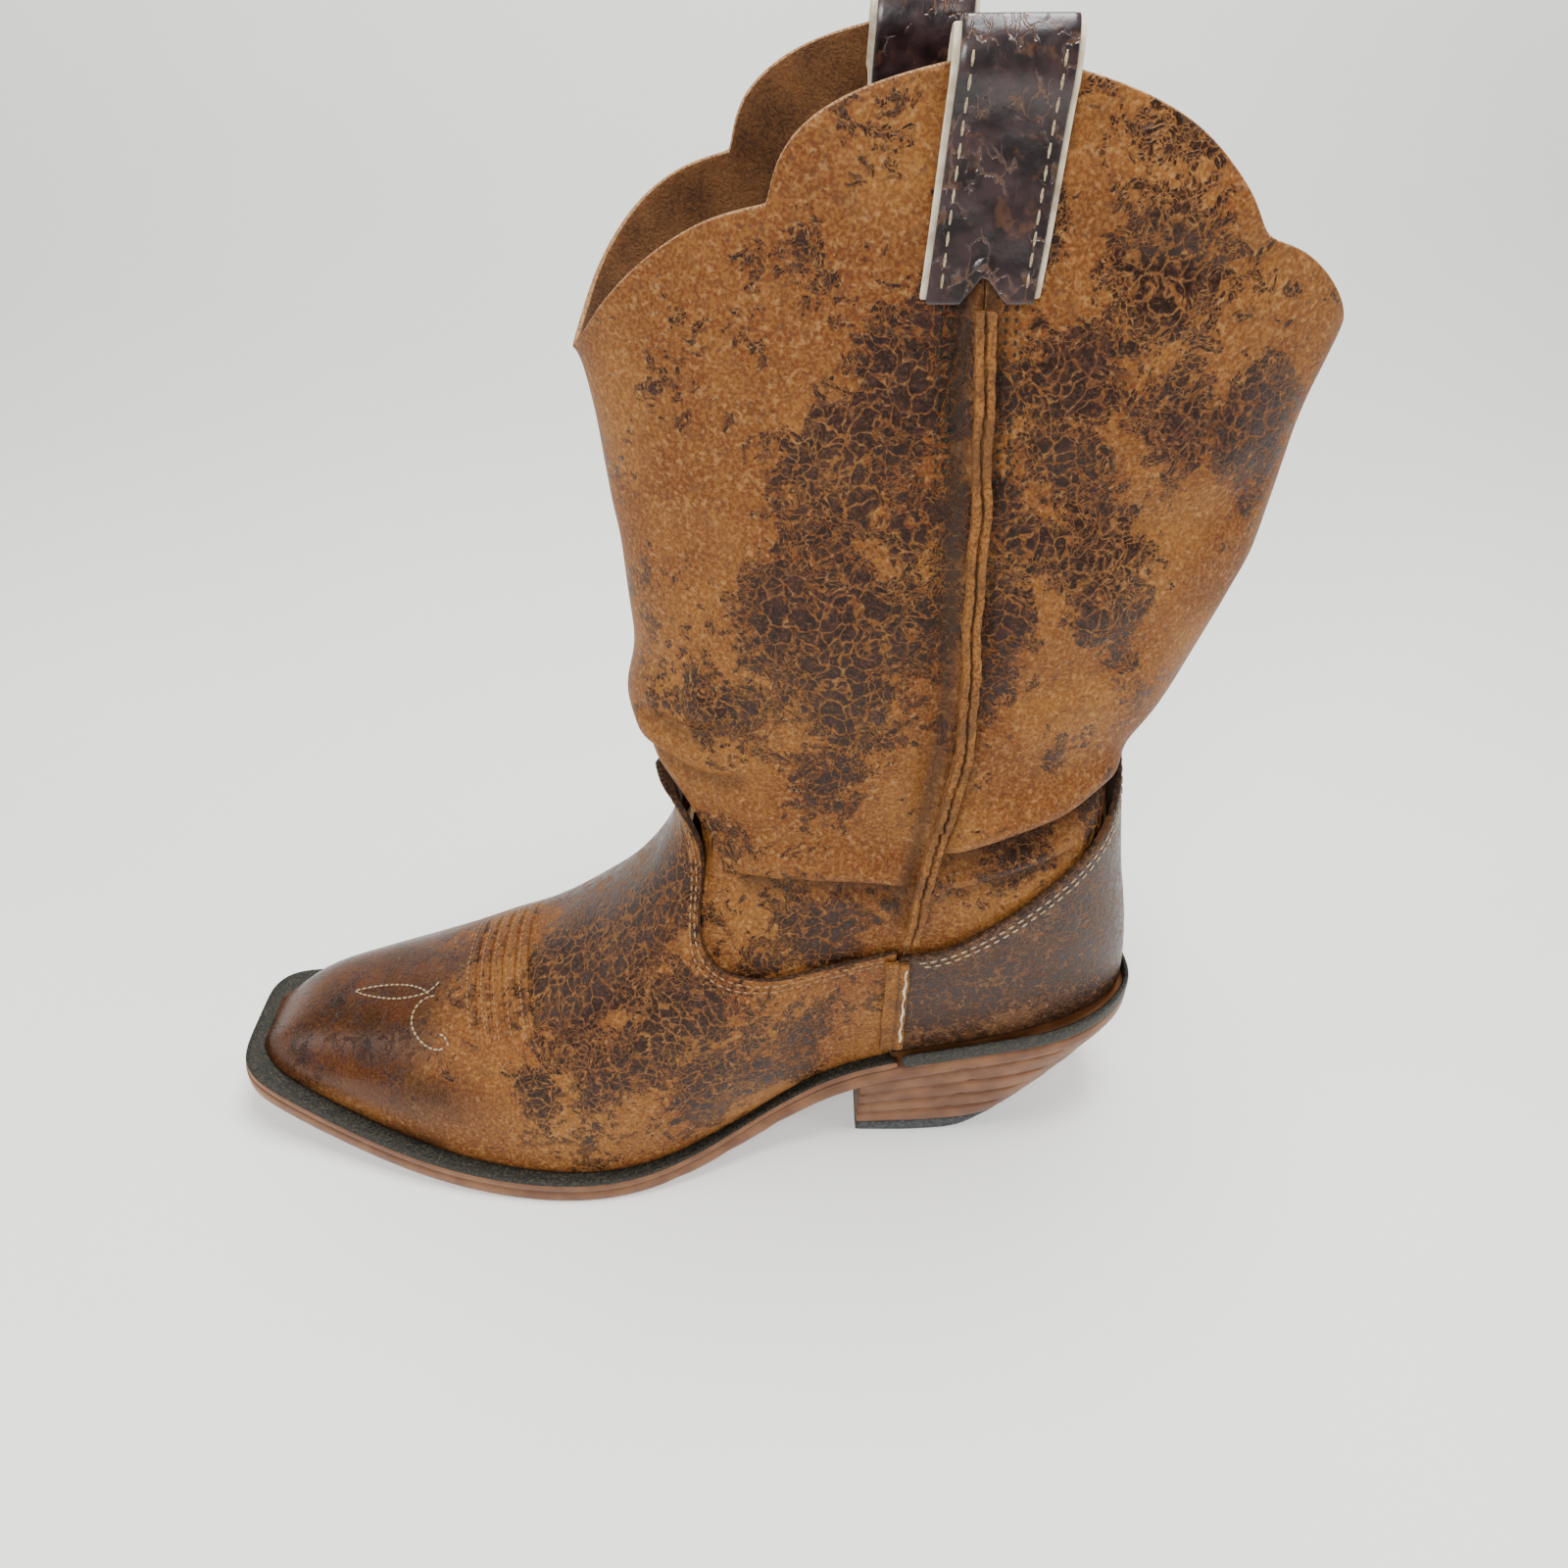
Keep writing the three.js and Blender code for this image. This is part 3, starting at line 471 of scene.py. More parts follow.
def slump(p):
    """How far, outwards, the shaft is pushed by wear."""
    out = from_leg(p)
    flank = ramp(abs(out.y), 0.1, 0.75)
    inner = out.y > 0
    side = Vector((p.x + (3 if inner else 0), p.z + (5 if inner else 0)))
    push = 0
    for path, depth, width, roll in FOLDS:
        far, share = along(side, path)
        ends = ramp(share, 0, 0.16) * ramp(1 - share, 0, 0.16)
        push += ends * (roll * bell(far - 2.6 * width, 1.7 * width) - depth * bell(far, width))
    beside = abs(p.x - seam_at(p.z))
    push -= 1.3 * bell(beside - 4, 3.6) * ramp(p.z, 120, 160)
    push_over = 4.5 * bell(p.z - 163, 13) * ramp(-out.x, 0.5, 0.9)
    worn = 0.5 + 0.8 * ramp(200 - p.z, 0, 60)
    wave = noise.noise(p * 0.024) * 1.7 + noise.noise(p * 0.06 + Vector((7, 3, 1))) * worn
    free = ramp(p.z, 95, 125) * ramp(beside, 1, 9) * ramp(high_corner[2] - p.z, 0, 14)
    return out * (push * flank * ramp(p.z, 88, 110) + wave * free + push_over)


FRONT_COAT = (
    (52, 262, 16, 0.85), (44, 250, 17, 0.8), (38, 224, 15, 0.65), (46, 206, 20, 0.95), (26, 200, 17, 0.85),
    (58, 203, 10, 0.8), (41, 184, 19, 0.9), (11, 173, 14, 0.75), (38, 157, 12, 0.95), (38, 98, 17, 0.8),
    (18, 92, 12, 0.6), (62, 236, 10, 0.7), (62, 274, 9, 0.85), (24, 292, 9, 0.5), (33, 284, 7, 0.45),
    (4, 276, 8, 0.3), (43, 310, 7, 0.35), (4, 130, 9, 0.55), (-14, 200, 14, 0.35),
)
BACK_COAT = (
    (93, 268, 13, 0.95), (118, 254, 12, 0.75), (139, 250, 12, 0.9), (91, 244, 11, 0.9), (101, 221, 14, 0.95),
    (88, 224, 10, 0.85), (111, 293, 13, 1.0), (80, 262, 8, 0.8), (78, 205, 8, 1.0), (80, 186, 8, 0.95),
    (109, 209, 12, 0.7), (84, 300, 7, 0.6), (112, 277, 9, 0.6), (124, 135, 13, 0.9), (90, 126, 12, 0.55),
    (110, 318, 8, 0.5), (76, 235, 6, 0.9), (100, 165, 8, 0.4),
)


def shaft_coat(spots):
    def coat(p):
        if from_leg(p).y > 0:
            p = Vector((p.x + 9 * noise.noise(p * 0.03), p.y, p.z + 14 + 9 * noise.noise(p * 0.02)))
        return blot(strayed(p), spots) + 0.13
    return coat


# Painted shade in the dips beside the side seam, on its front side near the top, and in deep folds.
def shaft_painted_shade(p):
    beside = abs(p.x - seam_at(p.z))
    groove = 0.85 * bell(beside - 2.8, 2.6) * ramp(p.z, 95, 110)
    groove += 0.5 * bell(p.x - seam_at(p.z) + 4.4, 1.6) * ramp(p.z, 190, 230)
    side = Vector((p.x, p.z))
    for path, depth, width, _ in FOLDS[:5]:
        far, share = along(side, path)
        ends = ramp(share, 0, 0.16) * ramp(1 - share, 0, 0.16)
        groove = max(groove, ends * min(depth / 3, 1) * 0.85 * bell(far, width * 0.9))
    return groove


for node, spots in zip(panels, (FRONT_COAT, BACK_COAT)):
    shape = sorted_sides(creased(merged(node), 0.85), outside)
    panel = place_piece(node + "_leather", shape, 3, tan_leather, suede, raw_edge)
    shape_points(panel, slump)
    paint(panel, "coat", shaft_coat(spots))
    # Painted shade in the dips beside the seam and in the folds.
    paint(panel, "painted_shade", shaft_painted_shade)
    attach(panel, "root")
    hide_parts(node)

# ---- Vamp ----------------------------------------------------------------------------------------
# One sheet of the worn leather over the toes and the instep, lasted over the toe box and sewn to the
# shaft by its tongue. The toe is polished almost black.
VAMP_COAT = (
    (-14, 109, 13, 0.8), (-8, 70, 14, 0.85), (31, 57, 13, 0.5), (-20, 56, 14, 1.0), (-46, 70, 16, 0.75),
    (-54, 42, 9, 0.7), (-31, 50, 12, 0.75), (0, 45, 15, 0.75), (22, 46, 13, 0.65), (-35, 81, 15, 0.75),
    (-24, 80, 13, 0.7), (10, 62, 10, 0.45), (-20, 95, 12, 0.6),
)


def from_foot(p):
    """Out of the foot at a point in metres."""
    x = min(p.x, 40 * MM)
    return Vector((p.x - x, p.y, p.z - (0.016 if p.x < 0 else 0.05))).normalized()


def vamp_wave(p):
    out = from_foot(p * MM)
    free = ramp(p.x, -110, -60) * ramp(p.z, 25, 50) * ramp(118 - p.z, 0, 25)
    free *= ramp(50 - p.x, 0, 10)
    crack = 0.5 * bell(along(Vector((p.x, p.z)), ((-8, 101), (-7, 91), (-6, 78)))[0], 1.6)
    tip = max(p.z - 133, 0) * 0.62
    pressed = Vector((0.3 * tip, 0, -1.2 * tip))
    return out * (noise.noise(p * 0.04) * 0.9 * free - crack * (p.y < 0)) + pressed


def vamp_coat(p):
    if p.y > 0:
        p = Vector((p.x - 6 + 8 * noise.noise(p * 0.04), p.y, p.z + 8 * noise.noise(p * 0.05)))
    return blot(strayed(p), VAMP_COAT) + 0.2


def vamp_burnish(p):
    wobble = 9 * noise.noise(p * 0.05)
    top = ramp(-93 - p.x + wobble, -14, 10)
    side = ramp(-72 - p.x + wobble, -14, 14) * bell(p.z - 34, 9)
    return max(top, side * 0.85) * (1 - 0.7 * bell(p.z - 20, 4.5) * ramp(p.x, -146, -128))


# Painted shade: a dark line along the crease down the outer side of the vamp.
def vamp_painted_shade(p):
    line, _ = along(Vector((p.x, p.z)), ((-8, 101), (-7, 91), (-6, 78)))
    return 0.35 * bell(line, 1.3) * (p.y < 0)


shape = sorted_sides(creased(merged("vamp"), 0.85), from_foot)
vamp = place_piece("vamp_leather", shape, 2, tan_leather, suede, dark_edge)
shape_points(vamp, vamp_wave)
paint(vamp, "coat", vamp_coat)
paint(vamp, "burnish", vamp_burnish)
paint(vamp, "painted_shade", vamp_painted_shade)
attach(vamp, "root")
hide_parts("vamp")

# ---- Counter cover -------------------------------------------------------------------------------
# Dark leather round the heel over the stiff counter, sewn to the shaft along its top.
shape = sorted_sides(creased(merged("counter_cover"), 0.85), outside)
counter = place_piece("counter_cover_leather", shape, 2, brown_leather, suede, dark_edge)
paint(counter, "coat", lambda p: 0.78 + 0.25 * noise.noise(p * 0.06) - 0.3 * ramp(66 - p.z, 0, 20))
# Painted shade: a darker band round the counter at about 48 mm height.
paint(counter, "painted_shade", lambda p: 0.2 * bell(p.z - 48, 9))
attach(counter, "root")
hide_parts("counter_cover")

# ---- Side seams ----------------------------------------------------------------------------------
# The raw edges of the two panels stand out with a welt between them, split along the middle.
seam_edge = Finish("seam_edge", {"Specular IOR Level": 0.25})
split = seam_edge.attribute("split")
fibre = seam_edge.noise(seam_edge.warped(seam_edge.place, 2, 2.5), 0.9, 4)
patch = seam_edge.noise(seam_edge.place, 9, 3).eased(0.4, 0.68)
colour = seam_edge.mix((0.11, 0.036, 0.008), (0.3, 0.125, 0.03), fibre.eased(0.3, 0.66))
colour = seam_edge.mix(colour, (0.09, 0.04, 0.015), patch * 0.7)
# Painted shade in the split down the middle of the welt and along a line on the joint strip.
colour = seam_edge.mix(colour, (0.03, 0.014, 0.008), split)
seam_edge.show(colour, 0.72 + fibre * 0.15, fibre * 0.6)

for side, name in ((-1, "outer"), (1, "inner")):
    node = "side_seam_welt_" + name
    welt = place_piece(node + "_leather", creased(merged(node), 0.7), 3, seam_edge)
    middles = {}
    for v in welt.data.vertices:
        middles.setdefault(int(v.co.z / MM / 4), []).append(v.co / MM)
    facts = {k: (sum(p.x for p in ps) / len(ps), max(side * p.y for p in ps)) for k, ps in middles.items()}

    def across(p):
        """Where a point lies across the seam, -1 to 1, and how deep below its crown."""
        middle, crown = facts[int(p.z / 4)]
        return (p.x - middle) / 3.1, crown - side * p.y

    def groove(p):
        place, depth = across(p)
        lean = 0.16 * noise.noise(Vector((0, side * 5, p.z * 0.05)))
        return bell(place - lean, 0.13) * ramp(2.6 - depth, 0, 1.2)

    def ragged(p):
        sway = noise.noise(Vector((3, 1, p.z * 0.07))) * 0.7
        rough = noise.noise(p * 0.5) * 0.35
        narrower = 0.9 * across(p)[0]
        sunk = 1.4 * groove(p) + 0.5 * noise.noise(p * 0.25)
        return Vector((sway + rough - narrower, -side * sunk, 0))

    # The split is sunk, and it is painted dark as shade.
    paint(welt, "split", lambda p: groove(p) * (0.55 + 0.6 * ramp(noise.noise(p * 0.12), -0.3, 0.3)))
    shape_points(welt, ragged)
    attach(welt, "root")
    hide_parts(node)

    node = "joint_strip_" + name
    strip = place_piece(node + "_leather", creased(merged(node), 0.6), 3, seam_edge)
    low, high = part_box(node)
    shape_points(strip, lambda p: Vector((0.5 * noise.noise(p * 0.15), side * 0.3 * noise.noise(p * 0.2), 0)))
    # Painted shade along a thin line beside the middle of the strip.
    paint(strip, "split", lambda p: 0.55 * bell(p.x - (low.x + high.x) / 2 / MM - 0.6, 0.5))
    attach(strip, "root")
    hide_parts(node)

# ---- Pull straps ---------------------------------------------------------------------------------
# Glossy dark leather over a cream backing whose edges show, folded over the top and sewn down both
# sides. Each foot is notched where the side seam runs up into it.
glossy = Finish("strap_leather", {"Specular IOR Level": 0.5, "Coat Weight": 0.25, "Coat Roughness": 0.2})
creases = glossy.warped(glossy.stretched((1, 1, 0.6)), 4, 5)
creases = glossy.cells(creases, 3.4, "DISTANCE_TO_EDGE", "Distance").eased(0.09, 0.02)
creases = creases * glossy.noise(glossy.place, 9, 2).eased(0.47, 0.6)
rubbed = glossy.noise(glossy.warped(glossy.place, 3, 5), 4, 4).eased(0.56, 0.72)
cloud = glossy.noise(glossy.place, 5, 3)
colour = glossy.mix((0.009, 0.003, 0.004), (0.034, 0.015, 0.016), cloud.eased(0.35, 0.7))
colour = glossy.mix(colour, (0.17, 0.07, 0.025), creases * 0.4)
colour = glossy.mix(colour, (0.16, 0.065, 0.022), rubbed * 0.35)
glossy.show(colour, 0.26 + cloud * 0.12, cloud * 0.3 - creases * 0.3)

cream = Finish("cream_leather", {"Specular IOR Level": 0.35})
cloud = cream.noise(cream.place, 3, 4)
colour = cream.mix((0.5, 0.4, 0.28), (0.66, 0.58, 0.44), cloud.eased(0.3, 0.7))
colour = cream.mix(colour, (0.2, 0.12, 0.07), cream.noise(cream.place, 8, 3).eased(0.6, 0.8) * 0.6)
cream.show(colour, 0.6 + cloud * 0.1, cloud * 0.2)

straps = {}
for side, name in ((-1, "outer"), (1, "inner")):
    node = "pull_strap_" + name
    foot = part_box(node)[0].z / MM
    strap = place_piece(node + "_leather", creased(merged(node), 0.8), 3, glossy)
    middle = sum(v.co.x for v in strap.data.vertices) / len(strap.data.vertices) / MM
    lean = 0.08

    def strap_middle(z):
        return middle + lean * (z - 310)

    def notched(p):
        """Lifts the middle of the outer foot."""
        share = abs(p.x - strap_middle(foot)) / 5
        end = ramp(foot + 12 - p.z, 0, 10)
        return Vector((0, 0, 6.5 * end * max(1 - share, 0)))

    def worn_strap(p):
        return notched(p) + Vector((0, side * 0.35 * noise.noise(p * 0.12), 0))

    shape_points(strap, worn_strap)
    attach(strap, "root")
    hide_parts(node)
    straps[side] = strap

    node = "pull_strap_backing_" + name
    backing = place_piece(node + "_leather", creased(merged(node), 0.5), 3, cream)

    def rolled(p):
        """The edges turn outwards round the strap, and the foot is cut off higher than the strap's."""
        off = p.x - strap_middle(p.z)
        rim = ramp(abs(off), 11.4, 12.6)
        cut = 9 * ramp(foot + 12 - p.z, 0, 10) * ramp(10 - abs(off), 0, 3)
        return Vector((math.copysign(0.5, off) * rim, side * 1.0 * rim * ramp(332 - p.z, 0, 6), cut))

    shape_points(backing, rolled)
    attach(backing, "root")
    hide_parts(node)

# ---- Sole, welt and heel ---------------------------------------------------------------------------
# A thick leather outsole under a black storm welt, a stack of leather lifts nailed under the heel
# seat, a rubber top lift and a rolled black rand round the seat. Edges are trimmed and waxed.
sole_edge = Finish("sole_leather", {"Specular IOR Level": 0.4})
layers = sole_edge.noise(sole_edge.stretched((0.05, 0.05, 1.6)), 1, 3)
mottle = sole_edge.noise(sole_edge.place, 9, 4)
fine = sole_edge.noise(sole_edge.place, 0.8, 3)
colour = sole_edge.mix((0.12, 0.041, 0.013), (0.2, 0.08, 0.028), mottle.eased(0.32, 0.7))
colour = sole_edge.mix(colour, (0.06, 0.022, 0.011), layers.eased(0.55, 0.75) * 0.1)
colour = sole_edge.mix(colour, (0.27, 0.12, 0.045), fine.eased(0.55, 0.75) * 0.25)
# Painted shade from the attribute; no sole piece is painted with it, so it stays off.
colour = sole_edge.mix(colour, (0.03, 0.017, 0.012), sole_edge.attribute("painted_shade"))
sole_edge.show(colour, 0.42 + fine * 0.15, layers * 0.08 + fine * 0.08)

black_welt = Finish("black_welt", {"Specular IOR Level": 0.4})
weave = black_welt.noise(black_welt.warped(black_welt.place, 2, 2), 0.9, 3)
colour = black_welt.mix((0.007, 0.007, 0.005), (0.05, 0.04, 0.022), weave.eased(0.4, 0.75))
black_welt.show(colour, 0.5 + weave * 0.15, weave * 0.5)

rubber = Finish("heel_rubber", {"Specular IOR Level": 0.3})
grit = rubber.noise(rubber.place, 1.2, 4)
colour = rubber.mix((0.035, 0.038, 0.042), (0.1, 0.1, 0.098), grit.eased(0.35, 0.75))
rubber.show(colour, 0.7 + grit * 0.15, grit * 0.25)

pieces = {}
for node, levels, amount, finish, slot in (
    ("outsole", 2, 0.75, sole_edge, "sole_leather"),
    ("heel_lift_1", 2, 0.9, sole_edge, "sole_leather"),
    ("heel_lift_2", 2, 0.9, sole_edge, "sole_leather"),
    ("heel_lift_3", 2, 0.9, sole_edge, "sole_leather"),
    ("heel_lift_4", 2, 0.9, sole_edge, "sole_leather"),
    ("rubber_top_lift", 2, 0.85, rubber, "heel_rubber"),
    ("storm_welt", 2, 0.7, black_welt, "black_welt_leather"),
    ("heel_rand", 3, 0.25, black_welt, "black_welt_leather"),
):
    piece = place_piece(node + "_trimmed", creased(merged(node), amount), levels, finish)
    pieces[node] = piece
    if node.startswith("heel_lift"):
        for v in piece.data.vertices:
            if abs(v.normal.z) > 0.4:
                v.co.z += math.copysign(0.14, v.normal.z) * MM
    if node == "storm_welt":
        piece.data.materials.append(sole_edge.material)
        for face in piece.data.polygons:
            face.material_index = 1 if abs(face.normal.z) < 0.6 else 0
    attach(piece, "root")
    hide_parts(node)

# ---- Stitching -----------------------------------------------------------------------------------
# Waxed thread: two rows hold the vamp and two the counter cover to the shaft, two run down each pull
# strap, one round the welt, and a row of each colour draws the figure on the toe.
def thread(name, dark, pale):
    finish = Finish(name, {"Specular IOR Level": 0.3})
    twist = finish.noise(finish.place, 0.5, 3)
    finish.show(finish.mix(dark, pale, twist.eased(0.3, 0.65)), 0.6 + twist * 0.15, twist * 0.15)
    return finish


tan_thread = thread("tan_thread", (0.13, 0.06, 0.025), (0.34, 0.2, 0.09))
pale_thread = thread("pale_thread", (0.2, 0.14, 0.08), (0.44, 0.35, 0.22))
dark_thread = thread("dark_thread", (0.006, 0.006, 0.005), (0.03, 0.03, 0.02))


def skin(piece, chosen):
    """A tree of the chosen faces of a piece, to lay stitches on."""
    faces = [f for f in piece.data.polygons if chosen(f)]
    return BVHTree.FromPolygons([v.co for v in piece.data.vertices], [tuple(f.vertices) for f in faces])


def is_outer(face):
    return face.material_index == 0


def rim_run(piece, chosen, keep):
    """The longest run along the rim of the chosen faces, as (point, direction inwards) pairs in order."""
    owners = {}
    for face in piece.data.polygons:
        if chosen(face):
            for pair in face.edge_keys:
                owners.setdefault(pair, []).append(face)
    points = piece.data.vertices
    links = {}
    inwards = {}
    for pair, faces in owners.items():
        if len(faces) == 1 and all(keep(points[i].co / MM) for i in pair):
            for i, other in (pair, pair[::-1]):
                links.setdefault(i, []).append(other)
                inwards[i] = inwards.get(i, Vector()) + (faces[0].center - points[i].co)
    runs = []
    left = set(links)
    while left:
        ends = [i for i in left if len(links[i]) == 1]
        run = [min(ends or left)]
        left.discard(run[0])
        while True:
            onward = [i for i in links[run[-1]] if i in left]
            if not onward:
                break
            run.append(onward[0])
            left.discard(onward[0])
        runs.append(run)
    run = max(runs, key=len)
    return [(points[i].co.copy(), inwards[i].normalized()) for i in run]


def evened(path, step):
    """Points a step apart along a path of points."""
    found = [path[0].copy()]
    gap = step
    for a, b in zip(path, path[1:]):
        length = (b - a).length
        while gap <= length:
            found.append(a.lerp(b, gap / length))
            gap += step
        gap -= length
    return found


def inset_path(run, distance, tree):
    """A path that follows a rim at a distance, smoothed and laid on the leather."""
    path = [point + inward * distance * MM for point, inward in run]
    for _ in range(6):
        inner = [(a + b + c) / 3 for a, b, c in zip(path, path[1:], path[2:])]
        path = [path[0], *inner, path[-1]]
    return [tree.find_nearest(point)[0] for point in path]


def stitch(shape, path, tree, length, gap, thick):
    """Sews a row of stitches along a path, lying on the tree's surface. Sizes in millimetres."""
    spots = evened(path, (length + gap) * MM)
    for before, after in zip(spots, spots[1:]):
        spot, normal, _, _ = tree.find_nearest((before + after) / 2)
        run = (after - before).normalized()
        normal = (normal - run * normal.dot(run)).normalized()
        turn = Matrix((run, normal.cross(run), normal)).transposed().to_4x4()
        size = Matrix.Diagonal((length * MM / 2, thick * MM / 2, thick * MM / 2.6, 1))
        lift = Matrix.Translation(spot + normal * thick * MM * 0.12)
        bmesh.ops.create_uvsphere(
            shape, u_segments=6, v_segments=4, radius=1, matrix=lift @ turn @ size
        )


def sewn(name, shape, finish):
    piece = place_piece(name, shape, 0, finish)
    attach(piece, "root")
    return piece


vamp_skin = skin(vamp, is_outer)
throat = rim_run(vamp, is_outer, lambda p: p.z > 79 and p.x < 57)
rows = bmesh.new()
for distance in (2.2, 4.6):
    stitch(rows, inset_path(throat, distance, vamp_skin), vamp_skin, 2.1, 0.7, 0.75)
sewn("vamp_stitching", rows, tan_thread)

counter_skin = skin(counter, is_outer)
top_line = rim_run(counter, is_outer, lambda p: p.z > 86 and p.x > 63)
rows = bmesh.new()
for distance in (3.0, 5.4):
    stitch(rows, inset_path(top_line, distance, counter_skin), counter_skin, 2.4, 0.9, 0.8)
sewn("counter_stitching", rows, pale_thread)


def dropped(points, tree):
    """Points (x, y) in millimetres let down onto the leather from above."""
    return [tree.ray_cast(Vector((x * MM, y * MM, 0.2)), Vector((0, 0, -1)))[0] for x, y in points]


def curve_through(points, count=8):
    """A smooth line through points, count steps from each to the next."""
    padded = [points[0], *points, points[-1]]
    line = []
    for a, b, c, d in zip(padded, padded[1:], padded[2:], padded[3:]):
        for i in range(count):
            t = i / count
            part = [
                b[k] + t * (c[k] - a[k]) / 2
                + t * t * (a[k] - 2.5 * b[k] + 2 * c[k] - d[k] / 2)
                + t**3 * (1.5 * (b[k] - c[k]) + (d[k] - a[k]) / 2)
                for k in range(2)
            ]
            line.append(part)
    return [*line, points[-1]]


TOE_FIGURE = (
    ((-95, -8), (-98, -5), (-104, -1.5), (-111, 0.6), (-118, 1.4), (-124, 1.2)),
    ((-124, 1.2), (-119, -2), (-109, -6), (-101, -7.4), (-95, -6.8), (-92, -3.6)),
    ((-92.5, -9.5), (-96, -9.6), (-99, -13), (-98.8, -19), (-94.5, -25), (-89, -28.4), (-84.4, -28.6)),
    ((-84.4, -28.6), (-87, -24.6), (-90.3, -24.1)),
)
rows = bmesh.new()
for points in TOE_FIGURE:
    stitch(rows, dropped(curve_through(points), vamp_skin), vamp_skin, 1.9, 0.25, 0.8)
sewn("toe_stitching", rows, pale_thread)

# The stitched wrinkles across the toe: cords under the leather, with a row sewn between each two.
WRINKLES = ((-80.5, -74, -29), (-75.5, -68.5, -31), (-71, -64, -32.5), (-66.4, -59.6, -33.5), (-62, -54.6, -34))


def tube(shape, path, radius):
    """A round cord along a path, radius(share of its length) thick in millimetres."""
    last = len(path) - 1
    rings = []
    for i, point in enumerate(path):
        run = (path[min(i + 1, last)] - path[max(i - 1, 0)]).normalized()
        turn = Matrix.Translation(point) @ run.to_track_quat("Z", "Y").to_matrix().to_4x4()
        made = bmesh.ops.create_circle(shape, segments=8, radius=radius(i / last) * MM, matrix=turn)
        rings.append(made["verts"])
    for ring, following in zip(rings, rings[1:]):
        loops = [e for e in shape.edges if (set(e.verts) <= set(ring)) or (set(e.verts) <= set(following))]
        bmesh.ops.bridge_loops(shape, edges=loops)
    for ring in (rings[0], rings[-1]):
        bmesh.ops.contextual_create(shape, geom=list(ring))


cords = bmesh.new()
rows = bmesh.new()
for top, foot, reach in WRINKLES:
    across = [26 + (reach - 26) * i / 28 for i in range(29)]
    line = [(top + (foot - top) * ((12 - y) / (12 - reach)) ** 2, y) for y in across]
    path = [point - Vector((0, 0, 0.15 * MM)) for point in dropped(line, vamp_skin)]
    tube(cords, path, lambda share: 0.3 + 1.0 * math.sin(math.pi * share) ** 0.5)
    between = dropped([(x - 2.3, y) for x, y in line], vamp_skin)
    stitch(rows, between, vamp_skin, 1.9, 0.5, 0.6)
bmesh.ops.recalc_face_normals(cords, faces=cords.faces)
cords = place_piece("toe_wrinkles", cords, 1, tan_leather)
paint(cords, "coat", lambda p: 0.35)
paint(cords, "burnish", lambda p: 0.15)
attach(cords, "root")
sewn("wrinkle_stitching", rows, tan_thread)

rows = bmesh.new()
for side, strap in straps.items():
    tree = skin(strap, is_outer)
    middle = sum(v.co.x for v in strap.data.vertices) / len(strap.data.vertices) / MM
    for off in (-9.4, 9.2):
        path = []
        for z in range(286, 334):
            start = Vector(((middle + 0.08 * (z - 310) + off) * MM, side * 0.1, z * MM))
            found = tree.ray_cast(start, Vector((0, -side, 0)))[0]
            if found is not None:
                path.append(found)
        stitch(rows, path, tree, 3.4, 0.9, 0.7)
sewn("strap_stitching", rows, pale_thread)


rows = bmesh.new()
line = bmesh.new()
for side, name in ((-1, "outer"), (1, "inner")):
    trees = [skin(bpy.data.objects[node + "_leather"], is_outer) for node in panels]
    for off, tree in ((-6.2, trees[0]), (-8.6, trees[0]), (6.2, trees[1]), (8.4, trees[1])):
        path = []
        for z in range(240, 284):
            start = Vector(((seam_at(z) + off) * MM, side * 0.1, z * MM))
            found = tree.ray_cast(start, Vector((0, -side, 0)))[0]
            if found is not None:
                path.append(found)
        stitch(rows, path, tree, 1.2, 1.3, 0.8)
    low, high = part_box("joint_strip_" + name)
    tree = skin(bpy.data.objects["joint_strip_" + name + "_leather"], lambda face: True)
    path = []
    for i in range(20):
        z = low.z + (high.z - low.z) * (0.1 + 0.85 * i / 19)
        start = Vector(((low.x + high.x) / 2 + (2.6 + 0.3 * math.sin(i * 1.7)) * MM, side * 0.1, z))
        path.append(tree.ray_cast(start, Vector((0, -side, 0)))[0])
    tube(line, [p for p in path if p], lambda share: 0.36 + 0.14 * math.sin(19 * share))
bmesh.ops.recalc_face_normals(line, faces=line.faces)
sewn("seam_needle_rows", rows, dark_thread)
sewn("joint_strip_edges", line, cream)


def is_up(face):
    return face.normal.z > 0.7


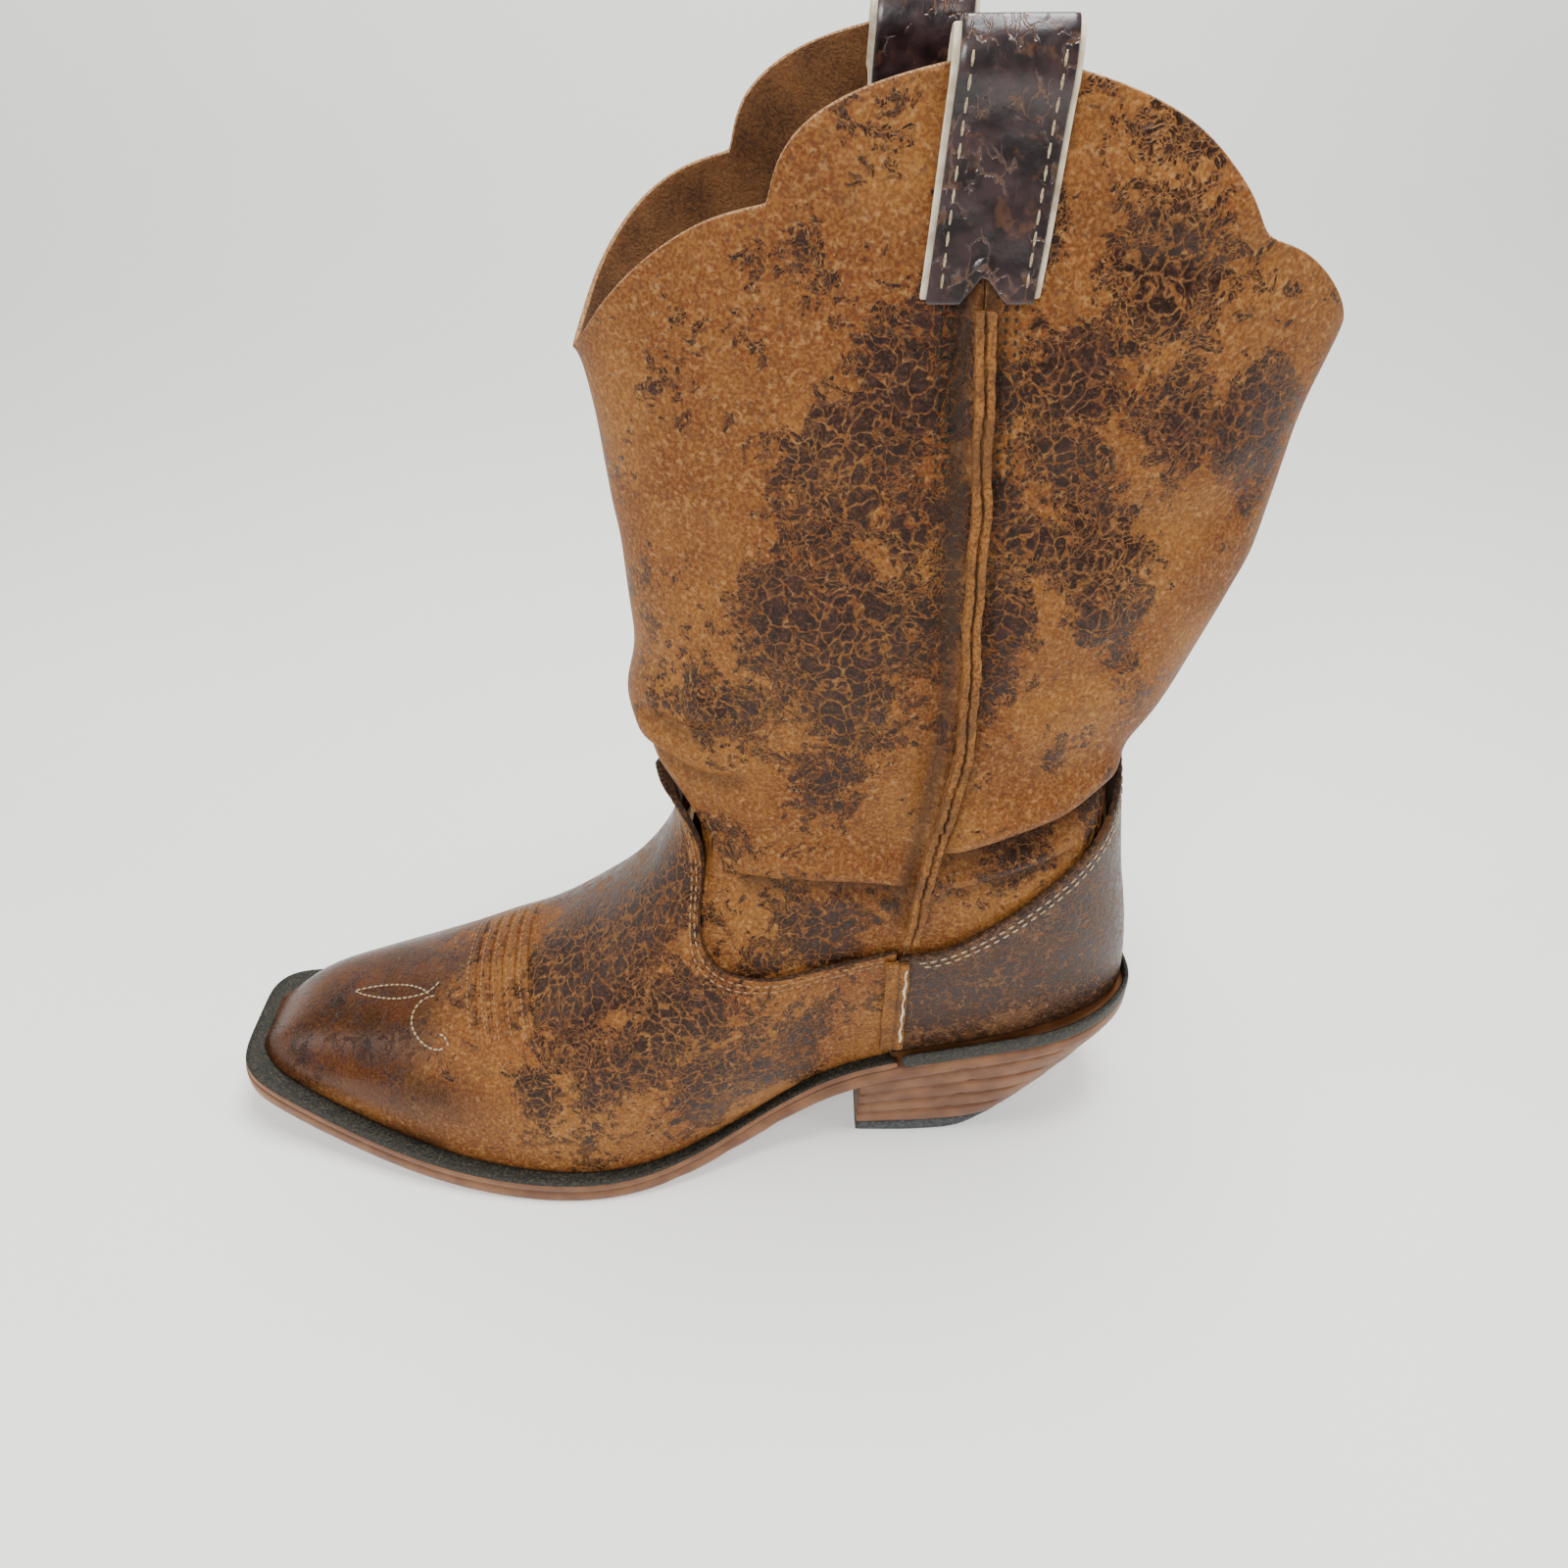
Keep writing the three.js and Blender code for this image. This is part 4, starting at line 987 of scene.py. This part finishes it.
welt_skin = skin(pieces["storm_welt"], is_up)
edge_line = rim_run(pieces["storm_welt"], is_up, lambda p: p.x < 57)
rows = bmesh.new()
stitch(rows, inset_path(edge_line, 2.6, welt_skin), welt_skin, 3.4, 0.5, 1.1)
sewn("welt_stitching", rows, dark_thread)

# ---- Parts inside --------------------------------------------------------------------------------
# Linings, stiffeners, insole and its filling, the steel shank, nails and pegs are shut inside or
# barely seen, and keep the shapes they were cut to.
lining = Finish("lining_leather", {"Specular IOR Level": 0.3})
cloud = lining.noise(lining.place, 6, 4)
colour = lining.mix((0.3, 0.18, 0.085), (0.42, 0.28, 0.15), cloud.eased(0.3, 0.7))
lining.show(colour, 0.65 + cloud * 0.15, cloud * 0.15)

board = Finish("fibre_board", {"Specular IOR Level": 0.25})
cloud = board.noise(board.place, 1.1, 4)
colour = board.mix((0.11, 0.06, 0.032), (0.2, 0.12, 0.065), cloud.eased(0.3, 0.7))
board.show(colour, 0.8 + cloud * 0.1, cloud * 0.3)

cork = Finish("cork", {"Specular IOR Level": 0.2})
crumb = cork.cells(cork.warped(cork.place, 2, 1.5), 2.2, "F1", "Distance")
colour = cork.mix((0.32, 0.2, 0.1), (0.14, 0.075, 0.035), crumb.eased(0.2, 0.7))
cork.show(colour, 0.9 - crumb * 0.05, crumb * 0.4)

steel = Finish("steel", {"Metallic": 1.0})
brushed = steel.noise(steel.stretched((0.1, 1.5, 1.5)), 1, 3)
colour = steel.mix((0.38, 0.39, 0.4), (0.52, 0.53, 0.54), brushed)
steel.show(colour, 0.3 + brushed * 0.15, brushed * 0.05)

peg_wood = Finish("peg_wood", {"Specular IOR Level": 0.3})
rings = peg_wood.noise(peg_wood.stretched((2, 2, 0.2)), 1, 3)
colour = peg_wood.mix((0.42, 0.27, 0.13), (0.6, 0.43, 0.25), rings)
peg_wood.show(colour, 0.7 + rings * 0.1, rings * 0.1)

INSIDE = {"lining_leather": lining, "fibre_board": board, "cork": cork, "steel": steel, "peg_wood": peg_wood}
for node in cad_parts.values():
    for place in node.material_slots:
        if place.material and place.material.name.split(".")[0] in INSIDE:
            place.material = INSIDE[place.material.name.split(".")[0]].material
